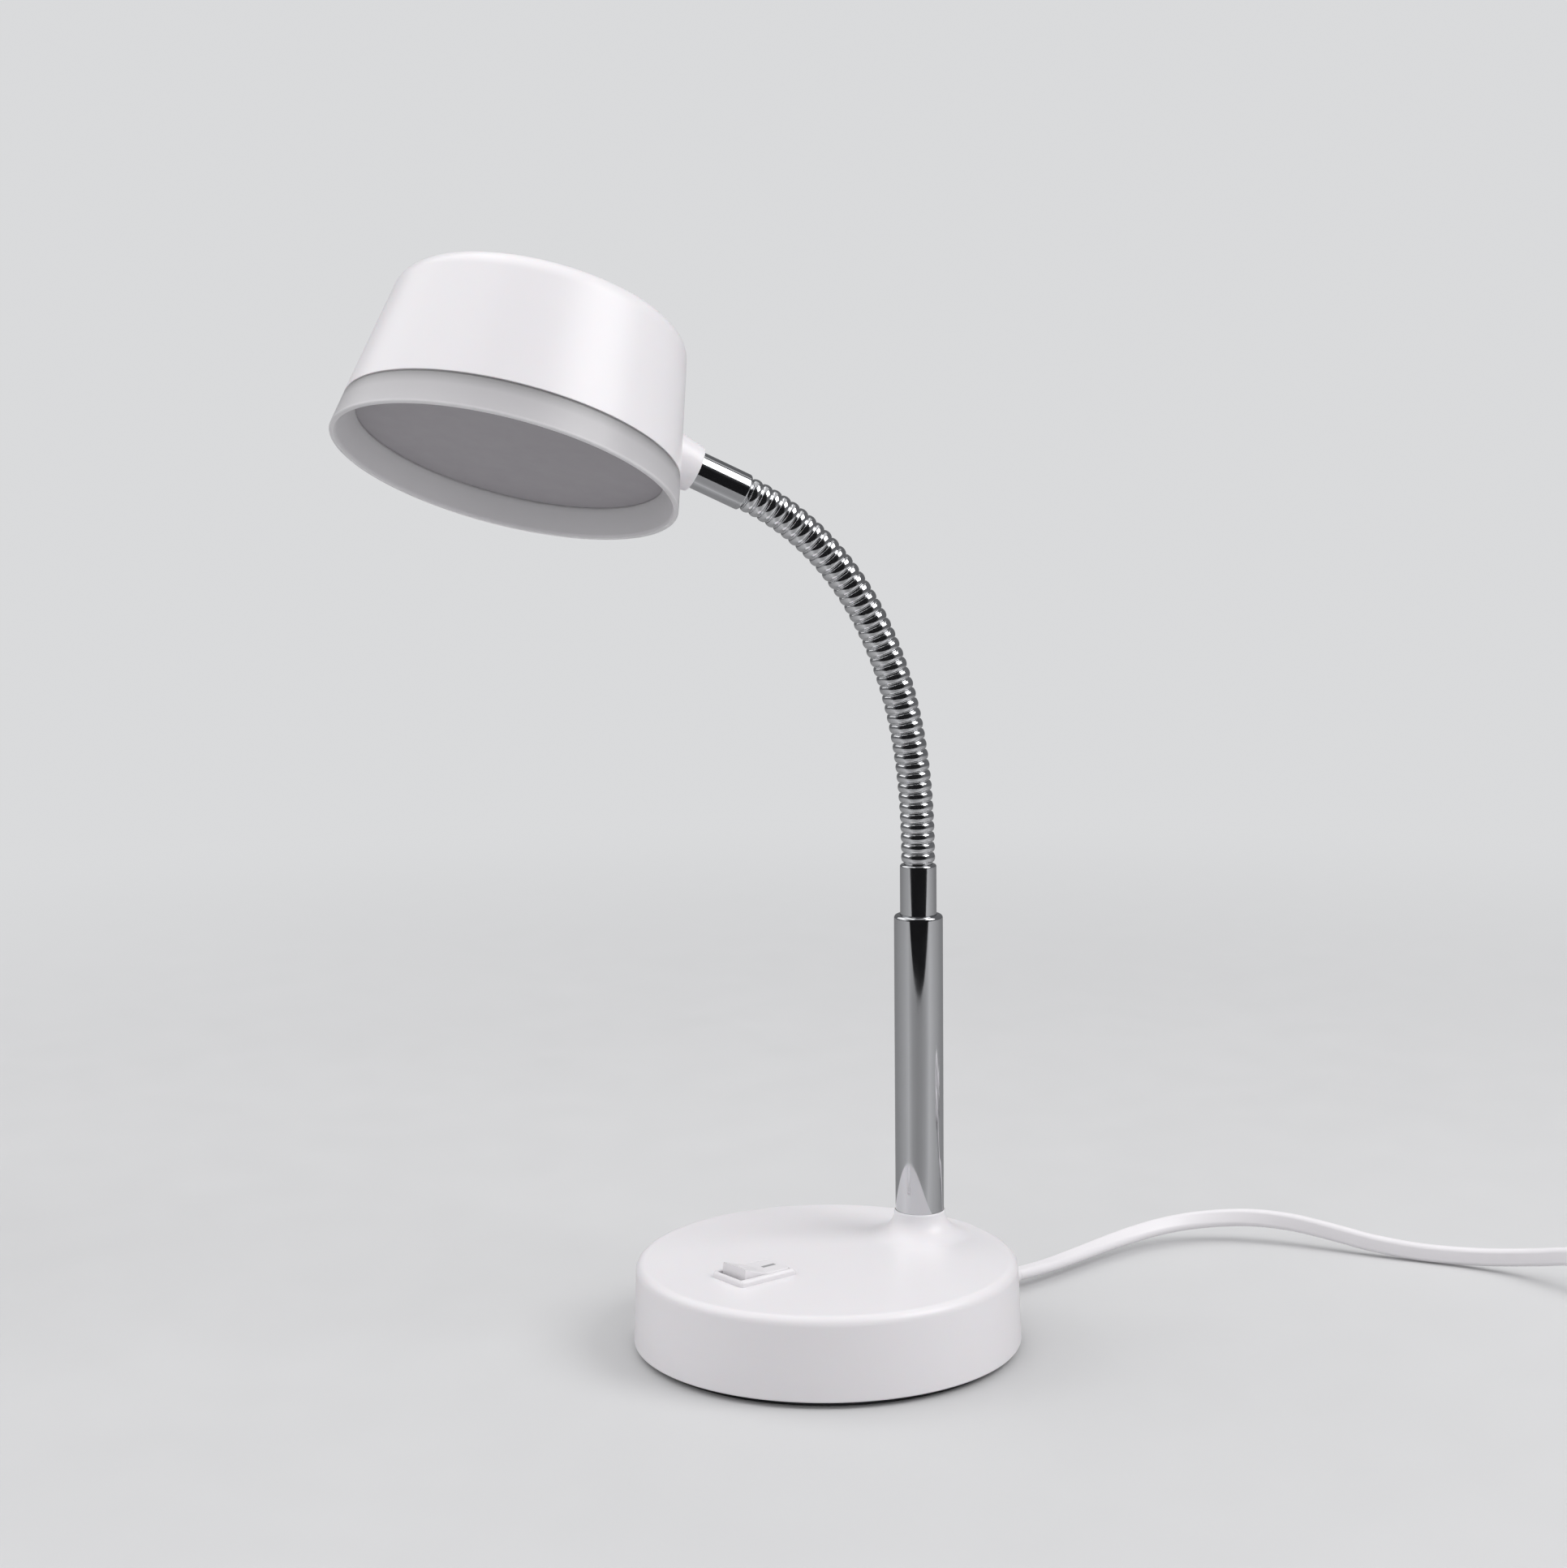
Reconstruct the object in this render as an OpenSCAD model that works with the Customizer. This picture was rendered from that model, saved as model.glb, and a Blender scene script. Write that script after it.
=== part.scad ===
// Gooseneck desk lamp with a round weighted base, a rocker switch and a round LED head.
// Units are millimetres. The origin is the centre of the base's underside and +Z is up.
// The switch is at the front (-Y) of the base and the post at its back (+Y).

/* [Base] */
// Diameter of the base at its lower edge
base_d = 120; // [112:1:130]
// Height of the top of the base over the table
base_h = 27; // [25.5:0.1:30]
// How much narrower the base is at its top, on each side
base_draft = 1.1; // [0.6:0.1:2.5]
// Radius of the rounded top edge
base_edge_r = 3; // [1.5:0.5:4]
// Thickness of the moulded base cover
base_wall = 2.4; // [1.8:0.1:3]
// Thickness of the foam pad under the base
pad_t = 1.9; // [1.5:0.1:2.5]
// Height of the flared collar that holds the post
collar_h = 8; // [6:0.5:10]
// Radius of the collar's foot
collar_foot_r = 17.5; // [15:0.5:17.5]

/* [Switch] */
// Distance from the base's centre to the switch
switch_y = 28.6; // [26:0.1:31]
// Length of the switch's bezel
bezel_l = 21; // [20.8:0.1:21.5]
// Width of the switch's bezel
bezel_w = 15; // [14.6:0.1:16]
// Angle between the rocker's two positions
rocker_travel = 18; // [14:1:18]

/* [Post and gooseneck] */
// Distance from the base's centre to the post
post_y = 38.3; // [36:0.1:38.4]
// Outer diameter of the post
post_d = 15.3; // [14:0.1:15.3]
// Height of the top of the post over the table
post_top = 129.8; // [110:0.1:160]
// Outer diameter of the plain ferrules at both ends of the gooseneck
ferrule_d = 11.4; // [11:0.1:12]
// Height at which the ribs begin
neck_z = 146.3; // [140:0.1:180]
// Outer diameter over the ribs
rib_d = 10.6; // [10:0.1:11]
// Distance from one rib to the next
rib_pitch = 3.2; // [3.1:0.05:3.4]
// Ribs on each rigid length of the gooseneck
ribs_per_link = 3; // [3:1:3]
// Rigid lengths that the gooseneck is divided into
links = 14; // [8:1:14]
// How far the gooseneck is bent forward in all
neck_bend = 64.5; // [30:0.5:70]
// Direction in which it is bent, turned from straight ahead
neck_turn = 23.5; // [0:0.1:30]

/* [Head] */
// Roll of the head about the end of the gooseneck
head_roll = 16.1; // [0:0.1:25]
// Slope of the head's socket against the head's own level
socket_slope = 6.9; // [0:0.1:10]
// Distance from the upper ferrule's end to the head's axis
head_reach = 57.8; // [55:0.1:60]
// Radius of the frosted ring at its lower edge
ring_r = 52.1; // [50:0.1:54]
// Height of the frosted ring
ring_h = 10.6; // [9:0.1:12]
// Radius of the shell at its lower edge
rim_r = 50.4; // [49:0.1:50.5]
// Height of the whole head
head_h = 52; // [46:0.5:56]
// Taper of the head's side wall
head_taper = 9.8; // [8:0.1:12]
// Radius of the head's rounded top edge
head_edge_r = 7.2; // [6:0.1:10]
// Thickness of the moulded shell
shell_t = 2.2; // [1.8:0.1:2.6]

/* [Cord] */
// Width of the flat two-core cord
cord_w = 6; // [5.4:0.1:6.5]
// Thickness of the flat two-core cord
cord_t = 3.6; // [3.2:0.1:4]

/* [Hidden] */
$fn = 96;

// ---- colours ----
white = [0.92, 0.92, 0.93];
chrome = [0.78, 0.79, 0.81];
steel = [0.6, 0.61, 0.63];
iron = [0.3, 0.3, 0.31];
black = [0.08, 0.08, 0.09];
brass = [0.8, 0.65, 0.3];
frost = [0.8, 0.8, 0.83, 0.8];

// ---- base, derived ----
base_r = base_d / 2;
base_top_r = base_r - base_draft;
ceiling_z = base_h - base_wall;
plate_t = 2;
plate_top = pad_t + plate_t;
plate_r = base_r - base_wall - 0.6;
ballast_t = 8.5;
ballast_top = plate_top + ballast_t;
collar_top = base_h + collar_h;
collar_top_r = post_d / 2 + 0.45;
collar_pad_r = 11;
collar_pad_t = 2;
boss_r = 3.2;
boss_at = 47;
boss_angles = [35, 145, 215, 325];
screw_head_r = 2.8;
screw_head_t = 1.3;
screw_r = 1.25;
screw_seat_z = pad_t + screw_head_t + 0.1;
relief_z = 4.6;
relief_r = 3.2;
lead_r = 0.9;
lead_z = 6.7;
lead_floor = lead_z - lead_r - 0.2;
clamp_y = 46.5;
clamp_screw_x = 7.5;

// Points of a quarter arc round [cx, cy] from angle a to angle b
function arc(cx, cy, r, a, b, n = 8) =
  [for (i = [0:n]) let (t = a + (b - a) * i / n) [cx + r * cos(t), cy + r * sin(t)]];

// ---- shapes used more than once ----
module ring_plate(r_out, r_in, h) {
  difference() {
    cylinder(r = r_out, h = h);
    translate([0, 0, -1]) cylinder(r = r_in, h = h + 2);
  }
}

module block(size, centre) {
  translate(centre - size / 2) cube(size);
}

module at_bosses() {
  for (a = boss_angles) rotate([0, 0, a]) translate([boss_at, 0, 0]) children();
}

// Pan-head screw with a cross recess, head down, its shank from z = 0 upwards
module screw(shank, shank_r = screw_r, head_r = screw_head_r, head_t = screw_head_t) {
  difference() {
    union() {
      translate([0, 0, -head_t]) rotate_extrude()
        polygon(concat([[0, 0]], [[0, head_t], [head_r, head_t]],
          arc(head_r - 0.9, 0.9, 0.9, 0, -90, 4)));
      cylinder(r = shank_r, h = shank);
    }
    for (a = [0, 90]) rotate([0, 0, a])
      translate([-head_r * 0.6, -0.35, -head_t - 0.1]) cube([head_r * 1.2, 0.7, 0.9]);
  }
}

module hex_nut(across, bore_r, h) {
  difference() {
    intersection() {
      cylinder(r = across / 2 / cos(30), h = h, $fn = 6);
      rotate_extrude() polygon([[0, 0], [across / 2, 0], [across / 2 / cos(30), 0.7],
        [across / 2 / cos(30), h - 0.7], [across / 2, h], [0, h]]);
    }
    translate([0, 0, -1]) cylinder(r = bore_r, h = h + 2);
  }
}

// ---- base ----
module cover_outside() {
  rotate_extrude() polygon(concat([[0, pad_t], [base_r - 0.6, pad_t], [base_r, pad_t + 0.6]],
    arc(base_top_r - base_edge_r, base_h - base_edge_r, base_edge_r, 0, 90), [[0, base_h]]));
}

module cover_inside() {
  inner_r = base_top_r - base_wall;
  rotate_extrude() polygon(concat([[0, -1], [base_r - base_wall, -1], [base_r - base_wall, pad_t]],
    arc(inner_r - 1.5, ceiling_z - 1.5, 1.5, 0, 90, 4), [[0, ceiling_z]]));
}

// Collar that flares smoothly out of the top of the base
module collar() {
  translate([0, post_y, 0]) rotate_extrude()
    polygon(concat([[0, base_h - 1], [collar_foot_r, base_h - 1], [collar_foot_r, base_h]],
      [for (a = [10:10:80]) [collar_foot_r - (collar_foot_r - collar_top_r) * sin(a),
        base_h + (collar_h - 0.5) * (1 - cos(a))]],
      [[collar_top_r, collar_top - 0.5], [collar_top_r - 0.35, collar_top], [0, collar_top]]));
}

module base_cover() {
  nipple_hole_r = 5.1;
  socket_depth = 7;
  color(white) difference() {
    union() {
      difference() {
        cover_outside();
        cover_inside();
      }
      collar();
      translate([0, post_y, ceiling_z - collar_pad_t]) cylinder(r = collar_pad_r, h = collar_pad_t + 1);
      at_bosses() translate([0, 0, plate_top]) cylinder(r = boss_r, h = ceiling_z - plate_top + 1);
      // stiffening ribs under the top
      for (a = [0:45:315]) if (a % 90 != 0) rotate([0, 0, a])
        translate([20, -0.7, ceiling_z - 2.5]) cube([34, 1.4, 3]);
    }
    translate([0, post_y, collar_top - socket_depth]) cylinder(r = post_d / 2 + 0.05, h = socket_depth + 1);
    translate([0, post_y, ceiling_z - collar_pad_t - 1]) cylinder(r = nipple_hole_r, h = 20);
    translate([0, -switch_y, ceiling_z - 4]) block([13, 19.7, 20], [0, 0, 5]);
    at_bosses() translate([0, 0, plate_top - 1]) cylinder(r = 1.3, h = 16);
    // notch for the strain relief, open at the lower edge
    translate([0, base_r - 8, relief_z]) rotate([-90, 0, 0]) cylinder(r = relief_r, h = 10);
    translate([-relief_r, base_r - 8, 0]) cube([2 * relief_r, 10, relief_z]);
  }
}

module base_plate() {
  color(steel) difference() {
    translate([0, 0, pad_t]) cylinder(r = plate_r, h = plate_t);
    at_bosses() translate([0, 0, pad_t - 1]) cylinder(r = screw_r + 0.2, h = 5);
    at_bosses() translate([0, 0, screw_seat_z - 3]) cylinder(r = screw_head_r + 0.1, h = 3);
    // notch for the cord's strain relief
    translate([-5.2, 49.5, 0]) cube([10.4, 12, 10]);
  }
}

module ballast_weight() {
  color(iron) difference() {
    union() {
      translate([0, 0, plate_top]) rotate_extrude() polygon([[0, 0], [54, 0], [54, ballast_t - 1.5],
        [52.5, ballast_t], [0, ballast_t]]);
      // feet with pins that carry the driver board
      for (x = [-20, 20], y = [-10, 12]) translate([x, y, ballast_top - 1]) {
        cylinder(r = 2.5, h = 2.2);
        cylinder(r = 1.15, h = 4.4);
      }
    }
    // well under the switch
    translate([-9.5, -switch_y - 13, 0]) cube([19, 26, 20]);
    at_bosses() translate([0, 0, plate_top - 1]) cylinder(r = boss_r + 1, h = 20);
    // channel for the strain relief, then the leads' channel forward to the switch
    translate([-5.2, 47, 0]) cube([10.4, 20, 20]);
    translate([-5, -20, lead_floor]) cube([10, 70, 20]);
    for (s = [-1, 1]) translate([s * clamp_screw_x, clamp_y, ballast_top - 4]) cylinder(r = 1.35, h = 6);
  }
}

module foot_pad() {
  color(black) difference() {
    rotate_extrude()
      polygon([[0, 0], [base_r - 3.4, 0], [base_r - 3, 0.4], [base_r - 3, pad_t], [0, pad_t]]);
    translate([-5.2, 49.5, -1]) cube([10.4, 12, 5]);
  }
}

module base_screws() {
  color(steel) at_bosses() translate([0, 0, screw_seat_z]) screw(13.5);
}

// ---- switch ----
pivot_z = base_h + 2 - 3.94;
opening_l = 18.7;
opening_w = 11.6;
body_depth = 14;
bezel_t = 1.8;
pin_r = 1;

module switch_body() {
  color(white) translate([0, -switch_y, 0]) difference() {
    union() {
      hull() {
        block([bezel_w, bezel_l, 0.9], [0, 0, base_h + 0.45]);
        block([bezel_w - 1.2, bezel_l - 1.2, bezel_t], [0, 0, base_h + bezel_t / 2]);
      }
      block([12.8, 19.5, body_depth], [0, 0, base_h - body_depth / 2 + 0.1]);
      // snap fins that hold it in the panel
      for (s = [-1, 1]) translate([0, s * 9.7, base_h - 5]) rotate([0, 90, 0])
        cylinder(r = 1, h = 8, center = true);
    }
    block([opening_w, opening_l, 20], [0, 0, base_h - 11 + 10]);
    translate([0, 0, pivot_z]) rotate([0, 90, 0]) cylinder(r = pin_r + 0.05, h = 14, center = true);
  }
}

// The rocker's outline seen from the side, level, round its pivot
module rocker_outline() {
  polygon(concat([[-8.4, 5.33], [-4, 4.4], [0, 4], [4, 4.4], [8.4, 5.33]],
    [[8.5, 3.5], [8.2, 0], [5, -4.2], [-5, -4.2], [-8.2, 0], [-8.5, 3.5]]));
}

module switch_rocker() {
  color(white) translate([0, -switch_y, pivot_z]) rotate([-rocker_travel / 2, 0, 0]) union() {
    rotate([90, 0, 90]) linear_extrude(height = opening_w - 0.6, center = true) rocker_outline();
    rotate([0, 90, 0]) cylinder(r = pin_r, h = 12.7, center = true);
  }
}

module switch_terminals() {
  tab = [4.8, 0.8, 6];
  color(brass) for (y = [-7, 0]) difference() {
    block(tab, [0, y - switch_y, base_h - body_depth + 0.1 - 3]);
    translate([0, y - switch_y, base_h - body_depth - 3.5]) rotate([90, 0, 0])
      cylinder(r = 0.8, h = 4, center = true);
  }
}

// ---- driver ----
board_z = ballast_top + 1.2;
board_t = 1.6;

module driver_board() {
  color([0.1, 0.35, 0.2]) difference() {
    block([48, 28, board_t], [0, 1, board_z + board_t / 2]);
    for (x = [-20, 20], y = [-10, 12]) translate([x, y, board_z - 1]) cylinder(r = 1.2, h = 4);
  }
}

module driver_transformer() {
  top = board_z + board_t;
  color([0.85, 0.75, 0.2]) union() {
    block([14, 13, 6.6], [6, 1, top + 3.3]);
    block([10, 15, 2], [6, 1, top + 3.3]);
  }
}

module driver_capacitors() {
  top = board_z + board_t;
  color(black) union() {
    // two electrolytics lying down and a film capacitor
    for (y = [-5, 5]) translate([-20, y, top + 3.2]) rotate([0, 90, 0]) cylinder(r = 3.2, h = 11);
    block([4, 10, 5], [18, 1, top + 2.5]);
    for (x = [-5, -2]) block([1.6, 3, 1.4], [x, 6.5, top + 0.7]);
  }
}

module lead(points) {
  swept(points, lead_r, lead_r, [1, 0, 0]);
}

module base_leads() {
  top = board_z + board_t;
  color([0.35, 0.2, 0.12]) union() {
    // mains in: one lead to the board, one to the switch
    lead([[-1.2, 50.95, relief_z], [-1.3, 50.2, relief_z + 0.1], [-2.1, 48.7, 6.1], [-2.7, 47.2, 6.6],
      [-3, 44, lead_z], [-3, 38, lead_z], [-3, 30, lead_z], [-3.2, 22, lead_z + 1.5], [-3.6, 17.5, top],
      [-4.5, 13, top + 3], [-5, 10.4, top + 2], [-5, 10.4, top + 0.03]]);
    lead([[1.2, 50.95, relief_z], [1.3, 50.2, relief_z + 0.1], [2.1, 48.7, 6.1], [2.7, 47.2, 6.6],
      [3, 44, lead_z], [3, 38, lead_z], [3, 20, lead_z], [3, -12, lead_z], [1, -21, lead_z + 1],
      [0, -28.1, lead_z + 2]]);
    // from the board to the switch
    lead([[-8, -10, top + 0.03], [-8, -10, top + 1.8], [-8, -12.8, top + 2.8], [-8, -17.4, 12.4],
      [-8, -24, 9], [-7.6, -32, 9], [-5, -36.6, 9], [-2.2, -37, 9]]);
    // low voltage from the board up into the post
    for (x = [-1.3, 1.3]) lead([[x, 11, top + 0.03], [x, 11, top + 1.8], [x, 13.4, top + 2.8],
      [x, 18.6, top + 0.4], [x, 27, 12], [x, 35, 12], [x, post_y, 16], [x, post_y, 28], [x, post_y, 40]]);
  }
}

// ---- cord entry ----
module strain_relief() {
  inner = 9;
  color(white) union() {
    translate([0, base_r - inner, relief_z]) rotate([-90, 0, 0]) rotate_extrude() polygon([[0, 0],
      [3.9, 0], [3.9, inner - 3.2], [relief_r - 0.05, inner - 3.2], [relief_r - 0.05, inner + 0.05],
      [4.4, inner + 0.05], [4.4, inner + 1.6], [0, inner + 1.6]]);
    // flat sleeve that runs straight out
    swept([[0, base_r + 1, relief_z], cord_route[0]], 2.9, 4.2, [1, 0, 0], sides = 16, per = 4,
      taper = 0.78);
  }
}

module cord_clamp() {
  block_low = lead_z + lead_r + 0.1;
  color(white) difference() {
    union() {
      block([20, 5, 2], [0, clamp_y, ballast_top + 1]);
      translate([-4.8, clamp_y - 2.5, block_low]) cube([9.6, 5, ballast_top - block_low + 1]);
    }
    for (s = [-1, 1]) translate([s * clamp_screw_x, clamp_y, ballast_top - 1]) cylinder(r = 1.4, h = 5);
  }
}

module clamp_screws() {
  color(steel) for (s = [-1, 1]) translate([s * clamp_screw_x, clamp_y, ballast_top + 2]) rotate([180, 0, 0])
    screw(5, shank_r = 1.3, head_r = 2.2);
}

// ---- post ----
module post_tube() {
  r = post_d / 2;
  foot_z = collar_top - 7;
  color(chrome) translate([0, post_y, 0]) rotate_extrude() polygon(concat(
    [[r - 1, foot_z], [r, foot_z], [r, post_top - 1.2]], arc(r - 1.2, post_top - 1.2, 1.2, 15, 75, 4),
    [[r - 1.4, post_top], [ferrule_d / 2 + 0.05, post_top], [ferrule_d / 2 + 0.05, post_top - 3],
     [r - 1, post_top - 4]]));
}

module post_nipple() {
  r = post_d / 2 - 1;
  color(steel) translate([0, post_y, 0]) difference() {
    union() {
      translate([0, 0, 14]) cylinder(r = 5, h = 15);
      translate([0, 0, collar_top - 7]) cylinder(r = r, h = 12);
    }
    translate([0, 0, 10]) cylinder(r = 3.4, h = 40);
  }
}

module post_washer() {
  color(steel) translate([0, post_y, ceiling_z - collar_pad_t - 1.2]) ring_plate(9, 5.2, 1.2);
}

module post_nut() {
  color(brass) translate([0, post_y, ceiling_z - collar_pad_t - 6.2]) hex_nut(14, 5.05, 5);
}

module lower_ferrule() {
  r = ferrule_d / 2;
  foot_z = post_top - 14;
  flange_r = post_d / 2 - 1.03;
  color(chrome) translate([0, post_y, 0]) rotate_extrude() polygon(concat(
    [[3.6, foot_z], [flange_r, foot_z], [flange_r, foot_z + 2.5], [r, foot_z + 2.5], [r, neck_z - 1.4]],
    arc(r - 0.8, neck_z - 1.4, 0.8, 15, 90, 4),
    [[plug_r + 0.05, neck_z - 0.6], [plug_r + 0.05, neck_z - 3.1], [3.6, neck_z - 3.1]]));
}

// ---- gooseneck ----
ribs = links * ribs_per_link;
neck_len = ribs * rib_pitch;
link_len = ribs_per_link * rib_pitch;
rib_r = rib_d / 2;
root_r = 4.4;
rib_half = 0.85;
ball_r = 3.7;
seat_r = 3.75;
plug_r = 4.35;
wire_r = 1.4;
// Share of the bend that is spread evenly; the rest grows towards the head
even_bend = 0.34;

// Angle from upright at a length s along the gooseneck
function neck_angle(s) = let (u = s / neck_len) neck_bend * (even_bend * u + (1 - even_bend) * u * u);
function link_angle(k) = k < links ? neck_angle((k + 0.5) * link_len) : neck_bend;
// Reach and height of the joint below each link, with the gooseneck's end as the last
neck_path = [for (k = 0, x = 0, z = neck_z; k <= links; x = x + link_len * sin(link_angle(k)),
  z = z + link_len * cos(link_angle(k)), k = k + 1) [x, z]];

// Puts its children on the gooseneck's line at the foot of link k
module on_neck(k) {
  translate([0, post_y, 0]) rotate([0, 0, -neck_turn]) translate([0, -neck_path[k][0], neck_path[k][1]])
    rotate([link_angle(k), 0, 0]) children();
}

// Half outline of one rib whose middle is at height z
function rib_side(z) = [[root_r, z - rib_half], [root_r + 0.55, z - rib_half], [rib_r - 0.08, z - 0.4],
  [rib_r, z - 0.1], [rib_r, z + 0.1], [rib_r - 0.08, z + 0.4], [root_r + 0.55, z + rib_half],
  [root_r, z + rib_half]];

// Half outline of the ball at the foot of a rigid length, up to height h
function ball_side(h) = concat([[wire_r, -sqrt(ball_r * ball_r - wire_r * wire_r)]],
  arc(0, 0, ball_r, -60, asin(h / ball_r), 8));

// One rigid length: ribs round a hollow core, a ball at its foot and a cup for the next ball
module neck_link(k) {
  foot = rib_pitch / 2 - rib_half;
  cup = asin(foot / seat_r);
  below = k == 0 ? [[wire_r, -3], [plug_r, -3], [plug_r, foot]] : ball_side(foot);
  color(chrome) on_neck(k) rotate_extrude() polygon(concat(below,
    [for (j = [0:ribs_per_link - 1]) each rib_side((j + 0.5) * rib_pitch)],
    arc(0, link_len, seat_r, -cup, -acos(wire_r / seat_r), 7)));
}

module neck_link_01() { neck_link(0); }
module neck_link_02() { neck_link(1); }
module neck_link_03() { neck_link(2); }
module neck_link_04() { neck_link(3); }
module neck_link_05() { neck_link(4); }
module neck_link_06() { neck_link(5); }
module neck_link_07() { neck_link(6); }
module neck_link_08() { neck_link(7); }
module neck_link_09() { neck_link(8); }
module neck_link_10() { neck_link(9); }
module neck_link_11() { neck_link(10); }
module neck_link_12() { neck_link(11); }
module neck_link_13() { neck_link(12); }
module neck_link_14() { neck_link(13); }

ferrule_len = 16;
ferrule_in_socket = 8;

module upper_ferrule() {
  r = ferrule_d / 2;
  end = ferrule_len + ferrule_in_socket;
  color(chrome) on_neck(links) rotate_extrude() polygon(concat(ball_side(0.6), [[r - 0.8, 0.6]],
    arc(r - 0.8, 1.4, 0.8, -60, 0, 4), [[r, end], [3, end], [3, 6], [wire_r, 4]]));
}

// ---- head ----
// Height of the socket's axis where it crosses the head's own axis
socket_h = 27;
taper = tan(head_taper);
function wall_r(h) = rim_r - (h - ring_h) * taper;

// The head's own frame: its axis is Z, its lower edge is z = 0 and the socket points to +Y
module in_head() {
  on_neck(links) translate([0, 0, ferrule_len + head_reach]) rotate([0, 0, head_roll])
    rotate([socket_slope - 90, 0, 0]) translate([0, 0, -socket_h]) children();
}

// The socket's frame: Z runs along its axis from the head's own axis out to the gooseneck
module in_socket() {
  translate([0, 0, socket_h]) rotate([-90 - socket_slope, 0, 0]) children();
}

edge_h = head_h - head_edge_r;
edge_r = wall_r(edge_h) - head_edge_r / cos(head_taper);
crown = 0.8;

function shell_profile(inset, low, top) = concat(
  [[0, low], [wall_r(low) - inset / cos(head_taper), low]],
  arc(edge_r, edge_h, head_edge_r - inset, head_taper, 80, 7),
  [for (t = [0.75, 0.5, 0.25]) [edge_r * t, top + crown * (1 - t * t)]], [[0, top + crown]]);

nut_seat = 41.4;
socket_end = head_reach - 1.6;
shell_boss_at = 36;
shell_boss_angles = [30, 150, 270];

module head_shell() {
  color(white) in_head() difference() {
    union() {
      difference() {
        rotate_extrude() polygon(shell_profile(0, ring_h, head_h));
        rotate_extrude() polygon(shell_profile(shell_t, ring_h - 1, head_h - shell_t));
      }
      // conical socket for the gooseneck, cut off flush inside
      difference() {
        in_socket() translate([0, 0, 40]) cylinder(r1 = 9.5, r2 = 7.1, h = socket_end - 40);
        rotate_extrude() polygon([[0, 0], [wall_r(ring_h) - shell_t, ring_h],
          [wall_r(edge_h) - shell_t, edge_h], [0, edge_h]]);
      }
      // flat seat inside for the nut
      in_socket() translate([0, 0, nut_seat]) cylinder(r = 7.5, h = 4.5);
      for (a = shell_boss_angles) rotate([0, 0, a]) translate([shell_boss_at, 0, heat_z + 1.5])
        cylinder(r = 3, h = 35);
    }
    in_socket() translate([0, 0, head_reach - ferrule_in_socket]) cylinder(r = ferrule_d / 2 + 0.05, h = 20);
    in_socket() translate([0, 0, nut_seat - 6]) cylinder(r = 4.05, h = 30);
    for (a = shell_boss_angles) rotate([0, 0, a]) translate([shell_boss_at, 0, heat_z])
      cylinder(r = 1.2, h = 10);
  }
}

module head_nipple() {
  start = nut_seat - 5.5;
  color(steel) in_head() in_socket() translate([0, 0, start])
    ring_plate(4, 2.6, head_reach - ferrule_in_socket - start);
}

module head_nut() {
  color(brass) in_head() in_socket() translate([0, 0, nut_seat - 4]) hex_nut(12, 4.05, 4);
}

disc_h = 8.2;
disc_r = 46.8;
disc_seen_r = 46.1;
heat_z = 13.4;

module heat_sink() {
  color(steel) in_head() difference() {
    union() {
      translate([0, 0, heat_z]) cylinder(r = 40, h = 1.5);
      for (x = [-24:6:24]) block([1.2, 44, 8], [x, -4, heat_z + 5]);
    }
    for (a = shell_boss_angles) rotate([0, 0, a]) translate([shell_boss_at, 0, heat_z - 1])
      cylinder(r = 1.7, h = 5);
    translate([0, 22, heat_z - 1]) cylinder(r = 3, h = 5);
  }
}

module led_board() {
  color([0.93, 0.93, 0.9]) in_head() difference() {
    translate([0, 0, heat_z - 1.2]) cylinder(r = 33, h = 1.2);
    translate([0, 22, heat_z - 3]) cylinder(r = 2, h = 5);
  }
}

module led_chips() {
  color([0.95, 0.9, 0.5]) in_head() union() {
    for (a = [0:30:330]) rotate([0, 0, a]) block([3.5, 2.8, 0.7], [27, 0, heat_z - 1.2 - 0.35]);
    for (a = [0:60:300]) rotate([0, 0, a]) block([3.5, 2.8, 0.7], [14, 0, heat_z - 1.2 - 0.35]);
  }
}

module head_screws() {
  color(steel) in_head() for (a = shell_boss_angles) rotate([0, 0, a])
    translate([shell_boss_at, 0, heat_z - 0.02]) screw(9, shank_r = 1.15, head_r = 2.4, head_t = 1.4);
}

module diffuser_disc() {
  color(frost) in_head() translate([0, 0, disc_h]) cylinder(r = disc_r, h = 1.6);
}

// Frosted ring: thin lower lip, slanted inner wall, a ledge for the disc and a tongue in the shell
module diffuser_ring() {
  tongue_top = ring_h + 3;
  inside = shell_t / cos(head_taper) + 0.05;
  color(frost) in_head() rotate_extrude() polygon(concat(
    [[disc_seen_r, disc_h], [disc_seen_r, disc_h - 0.5], [ring_r - 1.5, 0.3]],
    arc(ring_r - 0.6, 0.6, 0.6, -110, 0, 5),
    [[rim_r + 0.1, ring_h - 0.8], [rim_r - 0.5, ring_h - 0.5], [rim_r - 0.5, ring_h],
     [wall_r(ring_h) - inside, ring_h], [wall_r(tongue_top) - inside, tongue_top],
     [disc_r + 0.05, tongue_top], [disc_r + 0.05, disc_h]]));
}

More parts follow.
